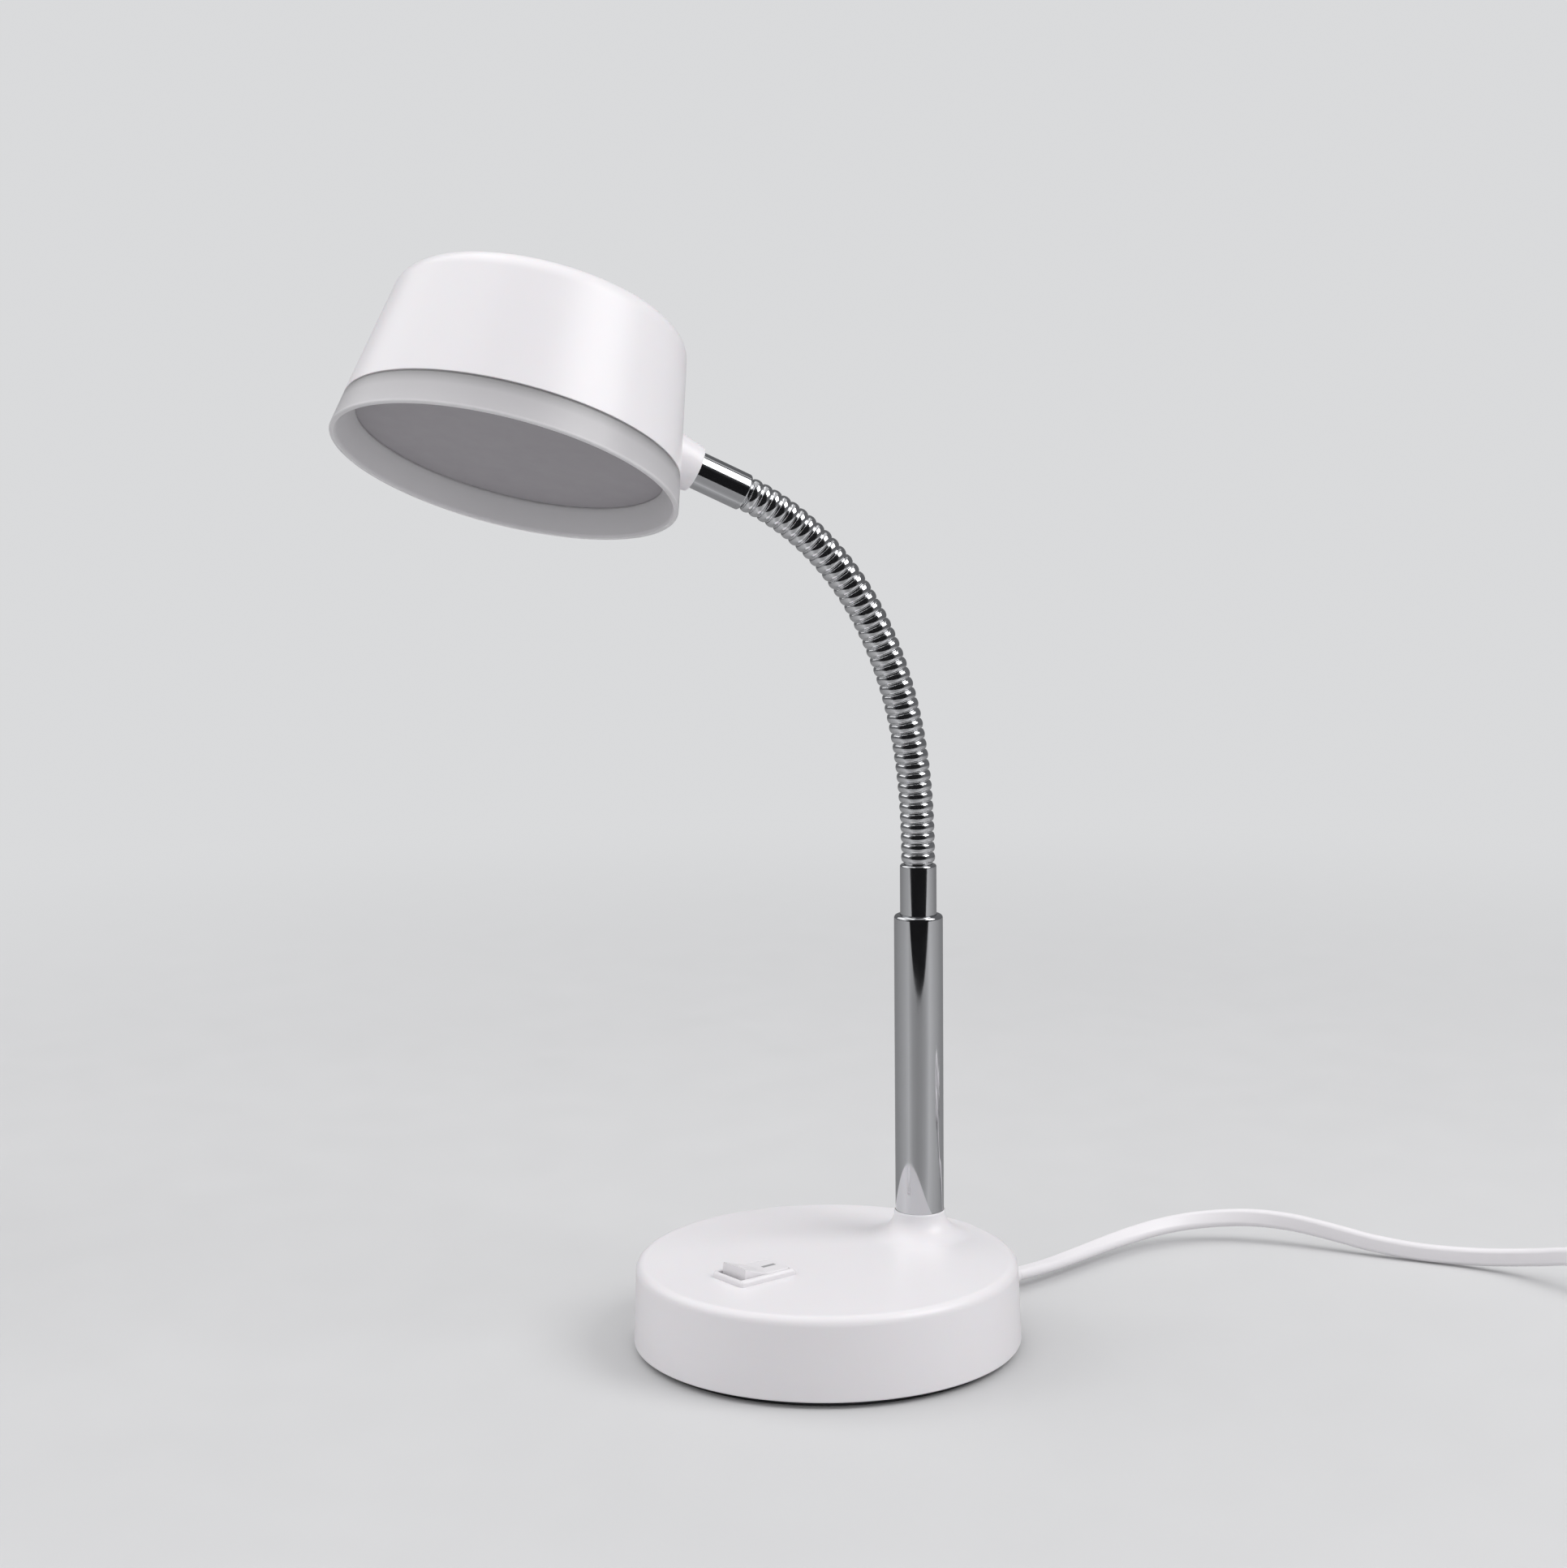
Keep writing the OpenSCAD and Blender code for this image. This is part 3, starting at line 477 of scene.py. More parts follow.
# ---- cord ----
CORD_ROUTE = [
    (0, CORD_EXIT_Y, RELIEF_Z), (-0.2, 88, 4.4), (-1, 97, 4.2), (-2.1, 106, 4.2),
    (-3.2, 115, 4.3), (-4, 124, 4.6), (-4.4, 133, 5), (-4, 141, 5.5),
    (-2.4, 149.5, 6.3), (0.4, 157.5, 7), (4.2, 164.4, 7.6),
    (9.2, 170.8, 8.1), (14.9, 176.3, 8.4), (21.4, 181, 8.3), (28.5, 185.1, 7.8), (36, 188.5, 6.9),
    (43.7, 191.7, 5.8), (51.3, 194.7, 4.7), (58.8, 198.2, 3.9), (66.5, 201.9, 3.4),
    (74.2, 205.7, 3.4), (81.9, 209.3, 3.8), (89.8, 212.3, 4.7), (98, 214.8, 6.1),
    (106.6, 216.4, 7.9), (115.8, 217.2, 10.2),
    (125, 217.4, 12), (134, 217.2, 12.8), (143, 216.6, 12.4), (152, 215.8, 10.8), (161, 215, 8.2),
    (169.5, 214.4, 5.5), (177.5, 214.1, 3.7), (186, 214, 3.1)]
TAIL_ROUTE = [(186, 293, 9.3), (176.5, 293.3, 9.2), (167.5, 292.9, 8.6), (158.5, 292.3, 7.4),
              (149.5, 291.7, 6.8), (142, 291.7, PLUG_Z)]
COIL_TURNS, COIL_START = 7.5, -90.0
LOW_TURN_Z, LAYER_H = 3.1, 6.2
# Shares of the coil's way: where the cord starts to climb on the lower turns, and over how much
CLIMB_FROM, CLIMB_OVER = 0.47, 0.06


def coil_points(per_turn=24):
    """Two layers of turns: inwards on the table, then outwards on top of them."""
    count = int(COIL_TURNS * per_turn)
    points = []
    for i in range(1, count):
        t = i / count
        angle = math.radians(COIL_START + 360 * COIL_TURNS * t)
        down = min(t, 1 - t) * 2
        radius = COIL_OUT_R + (COIL_IN_R - COIL_OUT_R) * down
        lift = min(max((t - CLIMB_FROM) / CLIMB_OVER, 0), 1)
        height = LOW_TURN_Z + LAYER_H * lift * lift * (3 - 2 * lift)
        points.append((COIL_X + radius * math.cos(angle), COIL_Y + radius * math.sin(angle),
                       height))
    return points


def spline(points, per=6):
    """Smooth curve through points."""
    p = [Vector(q) for q in points]
    out = []
    for i in range(len(p) - 1):
        a, b, c, d = p[max(i - 1, 0)], p[i], p[i + 1], p[min(i + 2, len(p) - 1)]
        for k in range(per):
            t = k / per
            out.append(0.5 * (2 * b + (c - a) * t + (2 * a - 5 * b + 4 * c - d) * t * t
                              + (3 * b - a - 3 * c + d) * t ** 3))
    return out + [p[-1]]


def cord_section(sides=20):
    """Section of the flat cord, thin across and wide along: two round cores under one sheath."""
    ring = []
    for k in range(sides):
        a = 2 * math.pi * (k + 0.5) / sides
        x, y = CORD_T / 2 * math.cos(a), CORD_T / 2 * math.sin(a)
        y += (CORD_W - CORD_T) / 2 * (1 if y > 0 else -1)
        ring.append((x, y))
    return ring


def make_cord(per=3):
    """The whole flat cord on one line: it leaves the base lying flat and turns onto its edge."""
    line = spline(list(CORD_ROUTE) + coil_points() + list(TAIL_ROUTE), per)
    on_edge_from = (len(CORD_ROUTE) - 1) / 2 * per
    section = cord_section()
    rings = []
    for i, p in enumerate(line):
        ahead = (line[min(i + 1, len(line) - 1)] - line[max(i - 1, 0)]).normalized()
        side = ahead.cross(Vector((0, 0, 1))).normalized()
        up = side.cross(ahead)
        t = min(i / on_edge_from, 1)
        twist = math.radians(90) * (1 - t * t * (3 - 2 * t))
        across = side * math.cos(twist) + up * math.sin(twist)
        along = up * math.cos(twist) - side * math.sin(twist)
        rings.append([p + across * x + along * y for x, y in section])
    cord = piece("cord_flex", skin(rings, cap_start=True, cap_end=True), MATERIALS["cord_white"],
                 "base", ["cord", "cord_coil", "cord_tail"], sharp=60)
    length = sum((b - a).length for a, b in zip(line, line[1:])) * MM
    return cord, [p * MM for p in line], length


def make_plug():
    """Flat two-pin plug: waisted body with a finger grip, and pins with insulating sleeves."""
    half = 17.7
    # place along the plug, half width, half thickness, corner radius
    sections = [(0.0, 3.7, 3.9, 2.6), (-2.0, 4.0, 4.1, 2.8), (-6.0, 4.6, 4.6, 3.2),
                (-10.0, 7.2, 5.4, 3.6), (-15.0, 11.2, 5.9, 4.0), (-20.0, 14.8, 6.3, 4.4),
                (-25.0, 17.2, 6.5, 4.6), (-29.0, half, 6.5, 4.6), (-33.2, half, 6.5, 4.6),
                (-34.6, half - 0.7, 5.9, 4.3), (-PLUG_LEN, half - 1.6, 5.2, 4.0)]
    rings = []
    for y, w, h, r in sections:
        outline = oblong(w, h, min(r, h - 0.1))
        rings.append([Vector((PLUG_X + y, PLUG_Y + x, PLUG_Z + z)) for x, z in outline])
    body = piece("plug_moulding", skin(rings, cap_start=True, cap_end=True),
                 MATERIALS["cord_white"], "base", ["plug_body"])
    sleeve_profile = [(0, -0.5), (1.9, -0.5), (1.9, 9.7), (1.7, 10), (0, 10)]
    tip_profile = [(0, 9.5), (2, 9.5), (2, 17.4), (1.6, 18.6), (0.8, 19), (0, 19)]
    sleeves, tips = [], []
    for side in (-1, 1):
        place = (Matrix.Translation((PLUG_X - PLUG_LEN, PLUG_Y + side * PIN_OFFSET, PLUG_Z))
                 @ Matrix.Rotation(math.radians(-90), 4, "Y"))
        sleeves.append(moved(lathe(sleeve_profile, 32), place))
        tips.append(moved(lathe(tip_profile, 32), place))
    pins = piece("plug_tips", joined(*tips), MATERIALS["nickel"], "base", ["plug_pins"])
    sleeve = piece("plug_sleeves", joined(*sleeves), MATERIALS["cord_white"], "base")
    return [body, pins, sleeve]


def lay_cord():
    cord, path, length = make_cord()
    make_plug()


lay_cord()


# ---- base ----
def base_profile():
    wall = BASE_R - BASE_WALL
    inner_top = BASE_H - BASE_WALL
    return rounded([(0, BASE_H, 0), (BASE_TOP_R, BASE_H, BASE_EDGE_R), (BASE_R, PAD_T, 0.6),
                    (wall, PAD_T, 0.3), (wall - 1.0, inner_top, 1.5), (0, inner_top, 0)],
                   10, closed=False)


def collar_profile(steps=28):
    """Trumpet-shaped foot of the post, tangent to the base's top, with a rounded rim."""
    top_r = POST_R + 0.45
    curve = [(COLLAR_FOOT_R + 2, BASE_H - 0.3), (COLLAR_FOOT_R + 0.6, BASE_H - 0.02)]
    for i in range(steps + 1):
        a = math.pi / 2 * i / steps
        curve.append((COLLAR_FOOT_R - (COLLAR_FOOT_R - top_r) * math.sin(a),
                      BASE_H + (COLLAR_H - 0.6) * (1 - math.cos(a)) + 0.005))
    top = BASE_H + COLLAR_H
    return curve + [(top_r - 0.06, top - 0.3), (top_r - 0.2, top - 0.08), (POST_R + 0.12, top),
                    (POST_R + 0.05, top - 0.2), (POST_R + 0.05, top - 6)]


def make_base():
    cover = piece("base_cover_shell", lathe(base_profile(), 192), MATERIALS["cover_white"], "base",
                  ["base_cover"])
    cut(cover, box_shape((-CUT_OUT_W / 2, SWITCH_Y - CUT_OUT_L / 2, BASE_H - 8),
                         (CUT_OUT_W / 2, SWITCH_Y + CUT_OUT_L / 2, BASE_H + 5)))
    piece("post_collar", moved(lathe(collar_profile(), 96), IN_POST), MATERIALS["cover_white"],
          "base")
    pad = [(0, 0, 0), (BASE_R - 3, 0, 0.5), (BASE_R - 3, PAD_T, 0.2), (0, PAD_T, 0)]
    piece("foam_foot", lathe(rounded(pad, 4, closed=False), 128), MATERIALS["foam"], "base",
          ["foot_pad"])


def make_switch():
    top = BASE_H + BEZEL_T
    rings = [rounded_rect(BEZEL_W, BEZEL_L, 0.9, BASE_H - 0.02),
             rounded_rect(BEZEL_W, BEZEL_L, 0.9, BASE_H + 0.7),
             rounded_rect(BEZEL_W - 0.3, BEZEL_L - 0.3, 0.9, BASE_H + 1.15),
             rounded_rect(BEZEL_W - 1.1, BEZEL_L - 1.1, 0.8, top - 0.12),
             rounded_rect(BEZEL_W - 1.6, BEZEL_L - 1.6, 0.7, top),
             rounded_rect(OPENING_W + 0.5, OPENING_L + 0.5, 0.4, top),
             rounded_rect(OPENING_W + 0.12, OPENING_L + 0.12, 0.3, top - 0.12),
             rounded_rect(OPENING_W, OPENING_L, 0.3, top - 0.4),
             rounded_rect(OPENING_W, OPENING_L, 0.3, BASE_H - 11)]
    bezel = skin(rings, cap_end=True)
    body = [rounded_rect(CUT_OUT_W, CUT_OUT_L, 0.5, z) for z in (BASE_H + 0.2, BASE_H - 13.5)]
    shape = moved(joined(bezel, skin(body, cap_end=True)), Matrix.Translation((0, SWITCH_Y, 0)))
    piece("switch_bezel", shape, MATERIALS["switch_white"], "base",
          ["switch_body"])


def rocker_top(y):
    """Height of the rocker's top at y, from its pivot: two facets that meet in a soft valley."""
    valley_h, slope, soft = 4.02, 0.158, 0.9
    return valley_h + slope * (math.sqrt(y * y + soft * soft) - soft)


def make_rocker():
    half, wide, steps = 8.5, OPENING_W / 2 - 0.3, 40
    top = [(y, rocker_top(y)) for y in (half * (2 * i / steps - 1) for i in range(steps + 1))]
    under = [(8.45, 3.4), (8.2, 0), (5, -4.2), (-5, -4.2), (-8.2, 0), (-8.45, 3.4)]

    def ring(x, inset):
        squeeze = 1 - inset / half
        return ([Vector((x, y * squeeze, z - inset)) for y, z in top]
                + [Vector((x, y * squeeze, z * (1 - inset / 5))) for y, z in under])

    edge = [(0.0, 0.45), (0.06, 0.26), (0.2, 0.1), (0.45, 0)]
    rings = ([ring(-wide + x, inset) for x, inset in edge]
             + [ring(wide - x, inset) for x, inset in reversed(edge)])
    shape = moved(skin(rings, cap_start=True, cap_end=True), IN_ROCKER)
    piece("rocker_cap", shape, MATERIALS["switch_white"], "rocker",
          ["switch_rocker"], sharp=50)

    def on_top(x, y, lift):
        return Vector((x, y, rocker_top(y) + lift))

    bar_w, bar_l, bar_lift, at = 0.7, 2.4, 0.025, 4.9
    rows = [at - bar_l + 2 * bar_l * i / 8 for i in range(9)]
    bar = skin([[on_top(-bar_w, y, bar_lift), on_top(bar_w, y, bar_lift)] for y in rows],
               closed_rings=False)
    piece("rocker_mark_on", moved(bar, IN_ROCKER), MATERIALS["ink"], "rocker")
    rings, stretch = [], 1.15
    for r, lift in ((1.25, -0.05), (1.3, 0.1), (1.75, 0.1), (1.8, -0.05)):
        rings.append([on_top(r * math.cos(a), -at + r * stretch * math.sin(a), lift)
                      for a in (2 * math.pi * k / 40 for k in range(40))])
    piece("rocker_mark_off", moved(skin(rings), IN_ROCKER), MATERIALS["switch_white"], "rocker",
          sharp=60)


def make_strain_relief():
    """Flange on the base, then a flat sleeve with flexing grooves that runs straight out."""
    flange = [(3.1, -2.6), (3.1, 0.1), (4.1, 0.1), (4.4, 0.35), (4.4, 1.2), (4.1, 1.6), (0, 1.6)]
    place = Matrix.Translation((0, BASE_R, RELIEF_Z)) @ Matrix.Rotation(math.radians(-90), 4, "X")
    start, end = Vector((0, BASE_R + 1.2, RELIEF_Z)), Vector(CORD_ROUTE[0])
    ahead = (end - start).normalized()
    side = Vector((1, 0, 0))
    up = side.cross(ahead)
    half_w, half_h, taper = 4.2, 2.9, 0.22
    grooves = [0.14 + 0.155 * i for i in range(5)]
    # share of the sleeve's length, depth below its tapered surface
    steps = [(0.0, 0)]
    for g in grooves:
        steps += [(g, 0), (g + 0.015, 0.5), (g + 0.06, 0.55), (g + 0.075, 0)]
    steps += [(0.965, 0), (0.99, 0.12), (1.0, 0.4), (1.0, 0.9)]
    rings = []
    for t, inset in steps:
        shrink = 1 - taper * t
        wide, high = half_w * shrink - inset, half_h * shrink - inset
        outline = oblong(wide, high, high - 0.05, 8)
        middle = start.lerp(end, t)
        rings.append([middle + side * x + up * y for x, y in outline])
    shape = joined(moved(lathe(flange, 64), place), skin(rings, cap_start=True, cap_end=True))
    piece("cord_strain_relief", shape, MATERIALS["cord_white"], "base",
          ["strain_relief"], sharp=45)


# ---- post and gooseneck ----
def make_post():
    z0, r = BASE_H + COLLAR_H - 7, POST_R
    profile = rounded([(r - 1, z0, 0), (r, z0, 0.2), (r, POST_TOP, 1.1),
                       (FERRULE_R + 0.05, POST_TOP, 0.15), (FERRULE_R + 0.05, POST_TOP - 3, 0)],
                      8, closed=False)
    piece("post_chrome", moved(lathe(profile, 128), IN_POST), MATERIALS["chrome"], "base",
          ["post_tube"])
    low = [(3.6, POST_TOP - 13.9, 0), (FERRULE_R, POST_TOP - 13.9, 0.2),
           (FERRULE_R, NECK_Z - 0.6, 0.7), (4.4, NECK_Z - 0.6, 0.1), (4.4, NECK_Z - 2.8, 0)]
    shape = moved(lathe(rounded(low, 8, closed=False), 96), IN_POST)
    piece("ferrule_low", shape, MATERIALS["chrome"], "base", ["lower_ferrule"])


def rib_radius(s):
    """Radius of the wound tube at a distance s past the middle of a rib."""
    s = abs((s + RIB_PITCH / 2) % RIB_PITCH - RIB_PITCH / 2)
    wire, half, root, flank = 2.4, 1.2, 4.6, 0.2
    edge = RIB_R - wire + math.sqrt(wire * wire - half * half)
    if s <= half:
        return RIB_R - wire + math.sqrt(wire * wire - s * s)
    return root + (edge - root) * (1 - min((s - half) / flank, 1)) ** 2


RIB_STEPS = (-1.6, -1.4, -1.3, -1.2, -1.05, -0.85, -0.62, -0.4, -0.2, 0.0,
             0.2, 0.4, 0.62, 0.85, 1.05, 1.2, 1.3, 1.4)


def make_tube(k, turns=64):
    """Wound tube from the middle of one rigid length to the middle of the next, along the neck's
    smooth curve.
    """
    low, high = max(k - 0.5, 0) * LINK_LEN, min(k + 0.5, LINKS) * LINK_LEN
    inner, tuck, slack = 4.25, 0.3, 0.001
    foot_in, foot_out, foot_z = 3.4, 4.3, -2.6

    def ring(s, r, along=0.0):
        place = smooth_neck(s)
        angles = [2 * math.pi * j / turns for j in range(turns)]
        return [place @ Vector((r * math.cos(a), r * math.sin(a), along)) for a in angles]

    if k == 0:
        rings = [ring(0, foot_in, foot_z), ring(0, foot_out, foot_z), ring(0, foot_out)]
    else:
        rings = [ring(low + tuck, inner)]
    for j in range(RIBS * LINKS):
        middle = (j + 0.5) * RIB_PITCH
        for step in RIB_STEPS:
            if low - slack <= middle + step <= high + slack:
                rings.append(ring(middle + step, rib_radius(step)))
    if k == LINKS:
        rings.append(ring(high, rib_radius(RIB_PITCH / 2)))
    rings.append(ring(high - (tuck if k < LINKS else 0), inner))
    rigid = "base" if k == 0 else "head" if k == LINKS else None
    obj = piece("gooseneck_%02d" % (k + 1), skin(rings, loop=True), MATERIALS["chrome_ribs"], rigid,
                ["neck_link_%02d" % (k + 1)] if k < LINKS else (), sharp=60)
    if not rigid:
        smooth_neck(low).translation * MM
        smooth_neck(high).translation * MM
        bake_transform(obj)


def make_upper_ferrule():
    end = FERRULE_LEN + FERRULE_IN_SOCKET
    ball_r = 4.15
    ball = [(ball_r * math.cos(a), ball_r * math.sin(a), 0)
            for a in (math.radians(degrees) for degrees in range(-70, 9, 6))]
    profile = rounded(ball + [(4.2, 0.6, 0), (FERRULE_R, 0.6, 0.7), (FERRULE_R, end, 0.2),
                              (3.0, end, 0)], 8, closed=False)
    piece("ferrule_up", moved(lathe(profile, 96), on_neck(LINKS)), MATERIALS["chrome"], "head",
          ["upper_ferrule"])


# ---- head ----
TAPER = math.tan(math.radians(HEAD_TAPER))


def wall_r(h):
    return RIM_R - (h - RING_H) * TAPER


def shell_outline(inset, low, top):
    """Half outline of the shell from its rim to the middle of its crowned top."""
    edge_h = HEAD_H - HEAD_EDGE_R
    edge_r = wall_r(edge_h) - HEAD_EDGE_R / math.cos(math.radians(HEAD_TAPER))
    radius = HEAD_EDGE_R - inset
    arc_end, arc_steps = 86, 16
    points = [(wall_r(low) - inset / math.cos(math.radians(HEAD_TAPER)), low)]
    for i in range(arc_steps + 1):
        a = math.radians(HEAD_TAPER + (arc_end - HEAD_TAPER) * i / arc_steps)
        points.append((edge_r + radius * math.cos(a), edge_h + radius * math.sin(a)))
    for t in (0.85, 0.7, 0.55, 0.4, 0.25, 0.1, 0.0):
        points.append((edge_r * t, top + CROWN * (1 - t * t)))
    return points


def make_head():
    outer = shell_outline(0, RING_H + 0.25, HEAD_H)
    inner = shell_outline(SHELL_T, RING_H, HEAD_H - SHELL_T)
    inside, outside = inner[0][0], outer[0][0]
    rim = [(inside, RING_H + 0.1), (inside + 0.2, RING_H), (outside - 0.25, RING_H),
           (outside - 0.06, RING_H + 0.08)]
    profile = inner[:0:-1] + rim + outer
    piece("head_cover", moved(lathe(profile, 192), IN_HEAD), MATERIALS["cover_white"], "head",
          ["head_shell"])
    start, end = 40.0, HEAD_REACH - 1.6
    cone = [(8.8, start, 0), (9.2, 42.0, 0), (7.1, end, 0.45), (FERRULE_R + 0.08, end, 0.15),
            (FERRULE_R + 0.05, HEAD_REACH - 7, 0)]
    piece("head_socket", moved(lathe(rounded(cone, 6, closed=False), 96), IN_SOCKET),
          MATERIALS["cover_white"], "head")


def make_diffuser():
    inside = SHELL_T / math.cos(math.radians(HEAD_TAPER)) + 0.05
    tongue = wall_r(RING_H) - inside
    ring = [(DISC_SEEN_R, DISC_H - 0.02, 0.1), (DISC_SEEN_R, DISC_H - 0.55, 0.2),
            (RING_R - 1.5, 0.0, 0.35),
            (RING_R + 0.02, 0.0, 0.5), (RIM_R + 0.05, RING_H - 0.75, 0.25),
            (RIM_R - 0.5, RING_H - 0.45, 0.05), (RIM_R - 0.5, RING_H - 0.02, 0),
            (tongue, RING_H - 0.02, 0), (tongue - 0.55, RING_H + 2.9, 0.3),
            (DISC_R + 0.06, RING_H + 2.9, 0.3), (DISC_R + 0.06, DISC_H - 0.02, 0)]
    shape = lathe(rounded(ring, 5), 192, closed=True)
    piece("frosted_ring", moved(shape, IN_HEAD), MATERIALS["frosted"], "head",
          ["diffuser_ring"])
    top = DISC_H + DISC_T
    disc = rounded([(0, DISC_H, 0), (DISC_R, DISC_H, 0.15), (DISC_R, top, 0.15), (0, top, 0)],
                   4, closed=False)
    piece("frosted_disc", moved(lathe(disc, 160), IN_HEAD), MATERIALS["diffuser"], "head",
          ["diffuser_disc"])


# ---- studio ----
def soft_light(name, place, target, size, power):
    data = bpy.data.lights.new(name, "AREA")
    data.shape, data.size, data.size_y = "RECTANGLE", size, size
    data.energy = power
    light = bpy.data.objects.new(name, data)
    bpy.context.scene.collection.objects.link(light)
    light.location = place
    light.rotation_euler = (Vector(target) - Vector(place)).to_track_quat("-Z", "Y").to_euler()


# The camera's line of sight, level and turned round: it leads from the lamp to the camera's side
VIEW_AZIMUTH = -38.6
CAMERA_SIDE = (math.cos(math.radians(VIEW_AZIMUTH)), math.sin(math.radians(VIEW_AZIMUTH)), 0.0)
BACKDROP = (0.70, 0.705, 0.715, 1)
# Metres over which the floor fades: away from the lamp all round, and towards its front edge
FAR_FADE, FRONT_FADE = (0.28, 1.1), (0.24, 0.45)
# Painted light and shade on the floor as mirrors see it, from behind the lamp (0) to in front of it
# (1)
FLOOR_MIRROR_PAINTED_LIGHT = ((0.0, 0.42), (0.2, 0.46), (0.62, 0.66), (0.8, 0.86), (0.92, 0.62), (1.0, 0.5))
# The room as mirrors and matt surfaces see it, away from the camera's side and towards it
MIRROR_FAR, MIRROR_NEAR = (0.16, 0.162, 0.168, 1), (0.012, 0.012, 0.013, 1)
FILL_FAR, FILL_NEAR = (0.53, 0.532, 0.54, 1), (0.69, 0.69, 0.70, 1)
NEAR_SIDE = (0.35, 0.75)


def make_floor():
    """Pale table top that ends in front of the lamp, outside the picture, and runs far back."""
    mesh = bpy.data.meshes.new("floor")
    front, far, side = 0.47, 14.0, 14.0
    corners = [(front, -side, 0), (front, side, 0), (-far, side, 0), (-far, -side, 0)]
    mesh.from_pydata(corners, [], [(0, 1, 2, 3)])
    mesh.transform(Matrix.Rotation(math.radians(VIEW_AZIMUTH), 4, "Z"))
    floor = bpy.data.objects.new("floor", mesh)
    bpy.context.scene.collection.objects.link(floor)
    n = Nodes("floor_paper")
    n.tint(n.noise(3, 3), (0.60, 0.60, 0.605), (0.615, 0.615, 0.62))
    n.roughen(n.noise(40, 4), 0.5, 0.6)
    n.set(Specular_IOR_Level=0.3)
    # painted light and shade on the floor, seen only in mirrors
    paint_mirror_light(n)
    fade_out(n)
    mesh.materials.append(n.material)


def paint_mirror_light(n):
    """For mirrors alone, painted light and shade on the floor change round the lamp, as under
    several soft boxes.
    """
    flat = n.add("ShaderNodeVectorMath", operation="MULTIPLY")
    flat.inputs[1].default_value = (1, 1, 0)
    n.link(n.coords(), "Object", flat, 0)
    unit = n.add("ShaderNodeVectorMath", operation="NORMALIZE")
    n.link(flat, "Vector", unit, 0)
    toward = n.add("ShaderNodeVectorMath", operation="DOT_PRODUCT")
    toward.inputs[1].default_value = CAMERA_SIDE
    n.link(unit, "Vector", toward, 0)
    share = n.add("ShaderNodeMapRange", From_Min=-1.0)
    n.link(toward, "Value", share, "Value")
    ramp = n.ramp(FLOOR_MIRROR_PAINTED_LIGHT)
    n.link(share, "Result", ramp, "Fac")
    mix = n.add("ShaderNodeMix", data_type="RGBA")
    mix.inputs[MIX_A].default_value = (1, 1, 1, 1)
    n.link(n.add("ShaderNodeLightPath"), "Is Glossy Ray", mix, MIX_FACTOR)
    n.link(ramp, "Color", mix, MIX_B)
    # painted light and shade, multiplied into the floor's colour for glossy rays alone
    n.times(mix, MIX_RESULT)


def fade_out(n):
    """To the camera alone, the floor turns into the backdrop far off and at its front edge."""
    def fade(value, start, end):
        ramp = n.add("ShaderNodeMapRange", interpolation_type="SMOOTHSTEP", From_Min=start,
                     From_Max=end)
        n.link(value, "Value", ramp, "Value")
        return ramp

    far = n.add("ShaderNodeVectorMath", operation="LENGTH")
    n.link(n.coords(), "Object", far, "Vector")
    near = n.add("ShaderNodeVectorMath", operation="DOT_PRODUCT")
    near.inputs[1].default_value = CAMERA_SIDE
    n.link(n.coords(), "Object", near, "Vector")
    share = n.add("ShaderNodeMath", operation="MAXIMUM")
    n.link(fade(far, *FAR_FADE), "Result", share, 0)
    n.link(fade(near, *FRONT_FADE), "Result", share, 1)
    camera = n.add("ShaderNodeMath", operation="MULTIPLY")
    n.link(share, "Value", camera, 0)
    n.link(n.add("ShaderNodeLightPath"), "Is Camera Ray", camera, 1)
    glow = n.add("ShaderNodeEmission", Color=BACKDROP, Strength=1.0)
    mix = n.add("ShaderNodeMixShader")
    n.link(camera, "Value", mix, "Fac")
    n.link(n.shader, "BSDF", mix, 1)
    n.link(glow, "Emission", mix, 2)
    n.link(mix, "Shader", n.tree.nodes["Material Output"], "Surface")


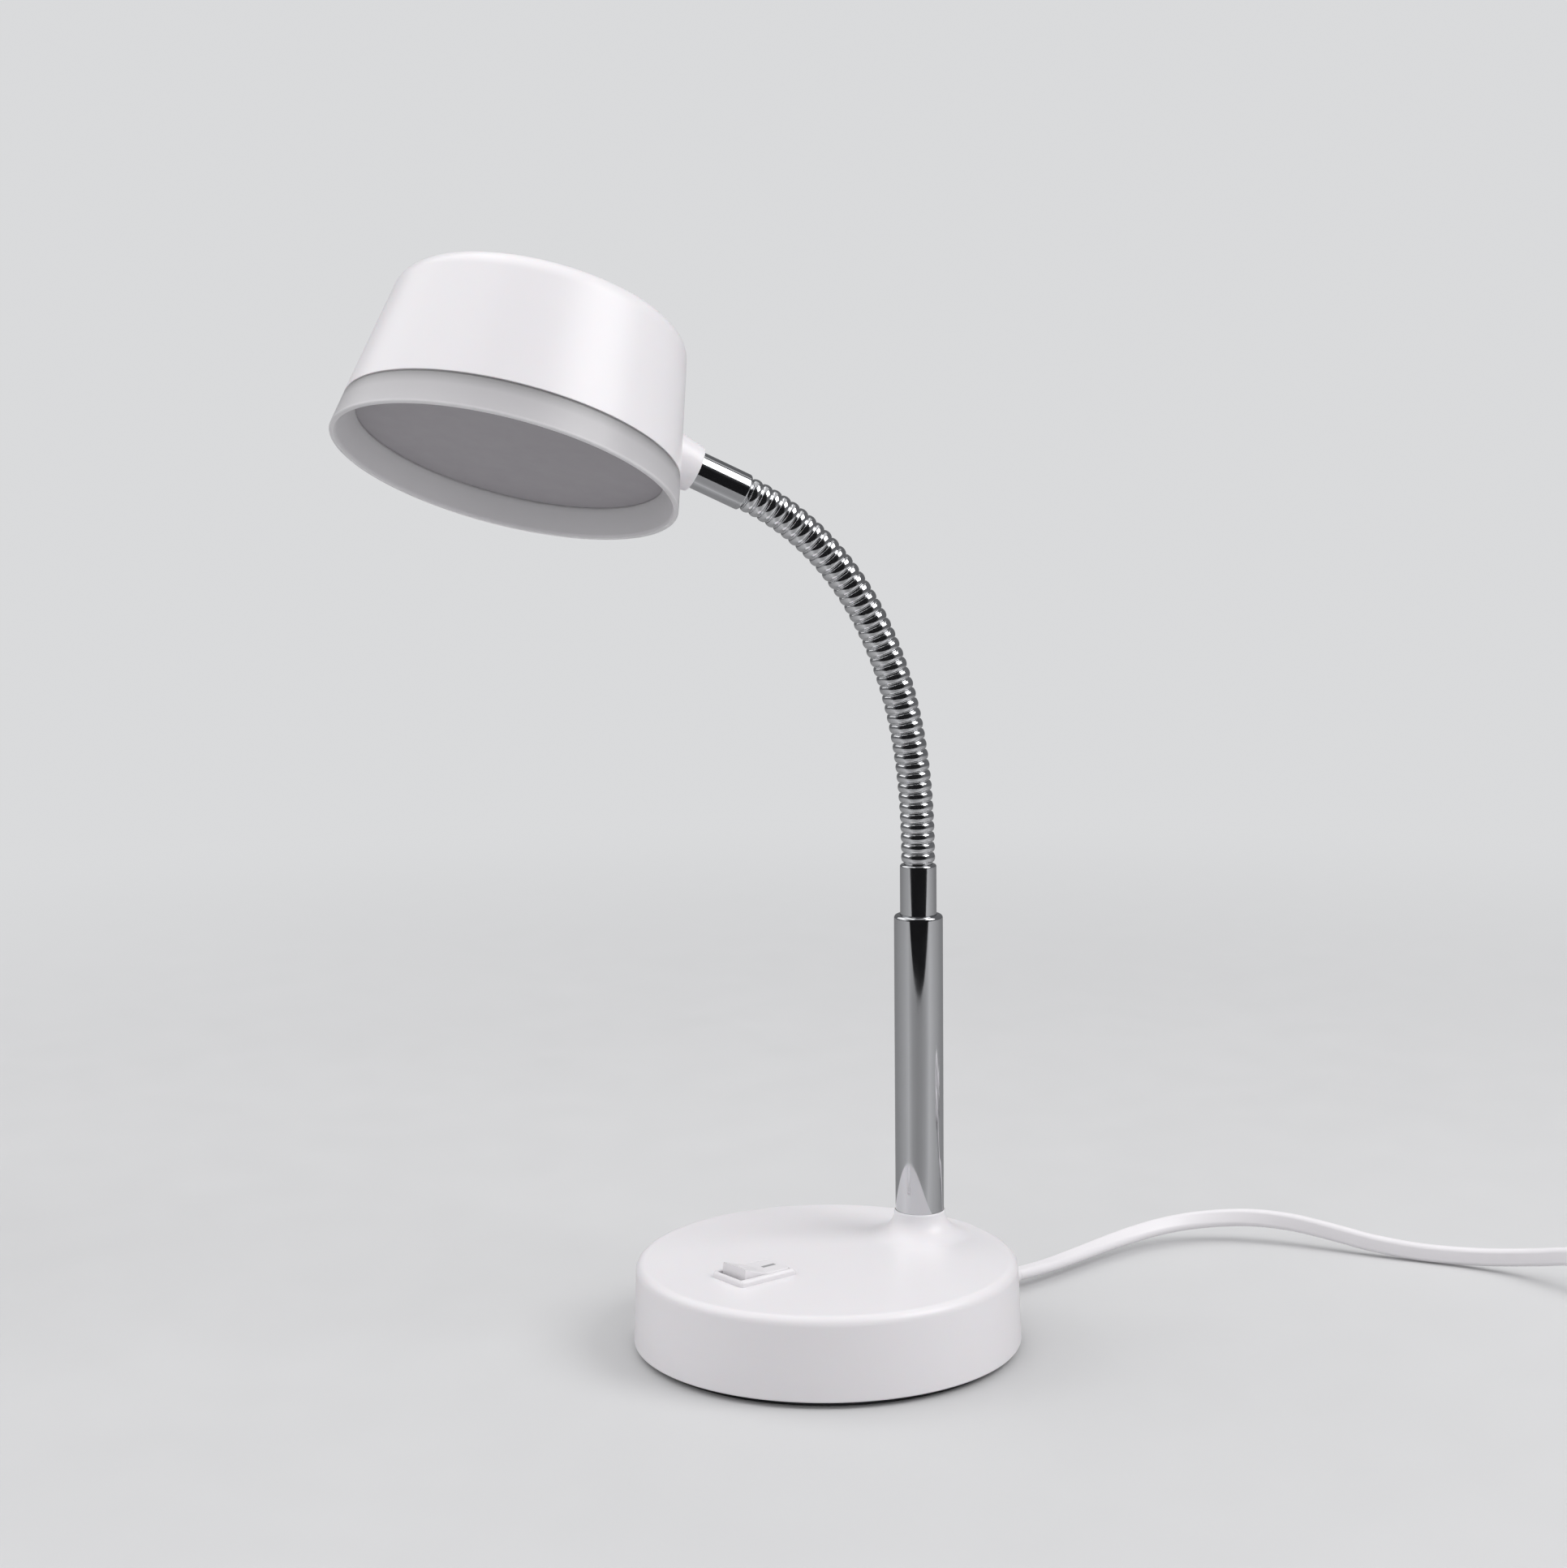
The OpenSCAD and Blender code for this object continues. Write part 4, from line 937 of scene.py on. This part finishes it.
def make_world():
    """Pale backdrop to the camera, an even fill to matt surfaces and a dim room to mirrors."""
    world = bpy.data.worlds.new("studio")
    bpy.context.scene.world = world
    world.use_nodes = True
    tree = world.node_tree
    back = tree.nodes["Background"]
    paths = tree.nodes.new("ShaderNodeLightPath")

    def mix(factor, a, b):
        node = tree.nodes.new("ShaderNodeMix")
        node.data_type = "RGBA"
        for into, value in ((MIX_FACTOR, factor), (MIX_A, a), (MIX_B, b)):
            if isinstance(value, tuple):
                node.inputs[into].default_value = value
            else:
                tree.links.new(value, node.inputs[into])
        return node.outputs[MIX_RESULT]

    where = tree.nodes.new("ShaderNodeTexCoord")
    toward = tree.nodes.new("ShaderNodeVectorMath")
    toward.operation = "DOT_PRODUCT"
    toward.inputs[1].default_value = CAMERA_SIDE
    tree.links.new(where.outputs["Generated"], toward.inputs[0])
    band = tree.nodes.new("ShaderNodeMapRange")
    band.interpolation_type = "SMOOTHSTEP"
    for key, value in zip(("From Min", "From Max"), NEAR_SIDE):
        band.inputs[key].default_value = value
    tree.links.new(toward.outputs["Value"], band.inputs["Value"])
    mirror = mix(band.outputs["Result"], MIRROR_FAR, MIRROR_NEAR)
    fill = mix(band.outputs["Result"], FILL_FAR, FILL_NEAR)
    others = mix(paths.outputs["Is Glossy Ray"], fill, mirror)
    seen = mix(paths.outputs["Is Camera Ray"], others, BACKDROP)
    tree.links.new(seen, back.inputs["Color"])
    back.inputs["Strength"].default_value = 1.0


def make_studio():
    make_floor()
    make_world()
    # place and target in metres, side in metres, watts
    soft_light("right", (0.90, 0.63, 1.20), (0, 0, 0.15), 0.9, 11.5)
    soft_light("left", (-0.80, -0.70, 1.35), (0, 0, 0.15), 2.0, 15.5)
    soft_light("top", (-0.2, 0.3, 2.0), (0, 0, 0.1), 1.8, 4.5)
    bpy.context.scene.view_settings.view_transform = "Standard"


dress_nodes()
make_base()
make_switch()
make_rocker()
make_strain_relief()
make_post()
for number in range(LINKS + 1):
    make_tube(number)
make_upper_ferrule()
make_head()
make_diffuser()
make_studio()
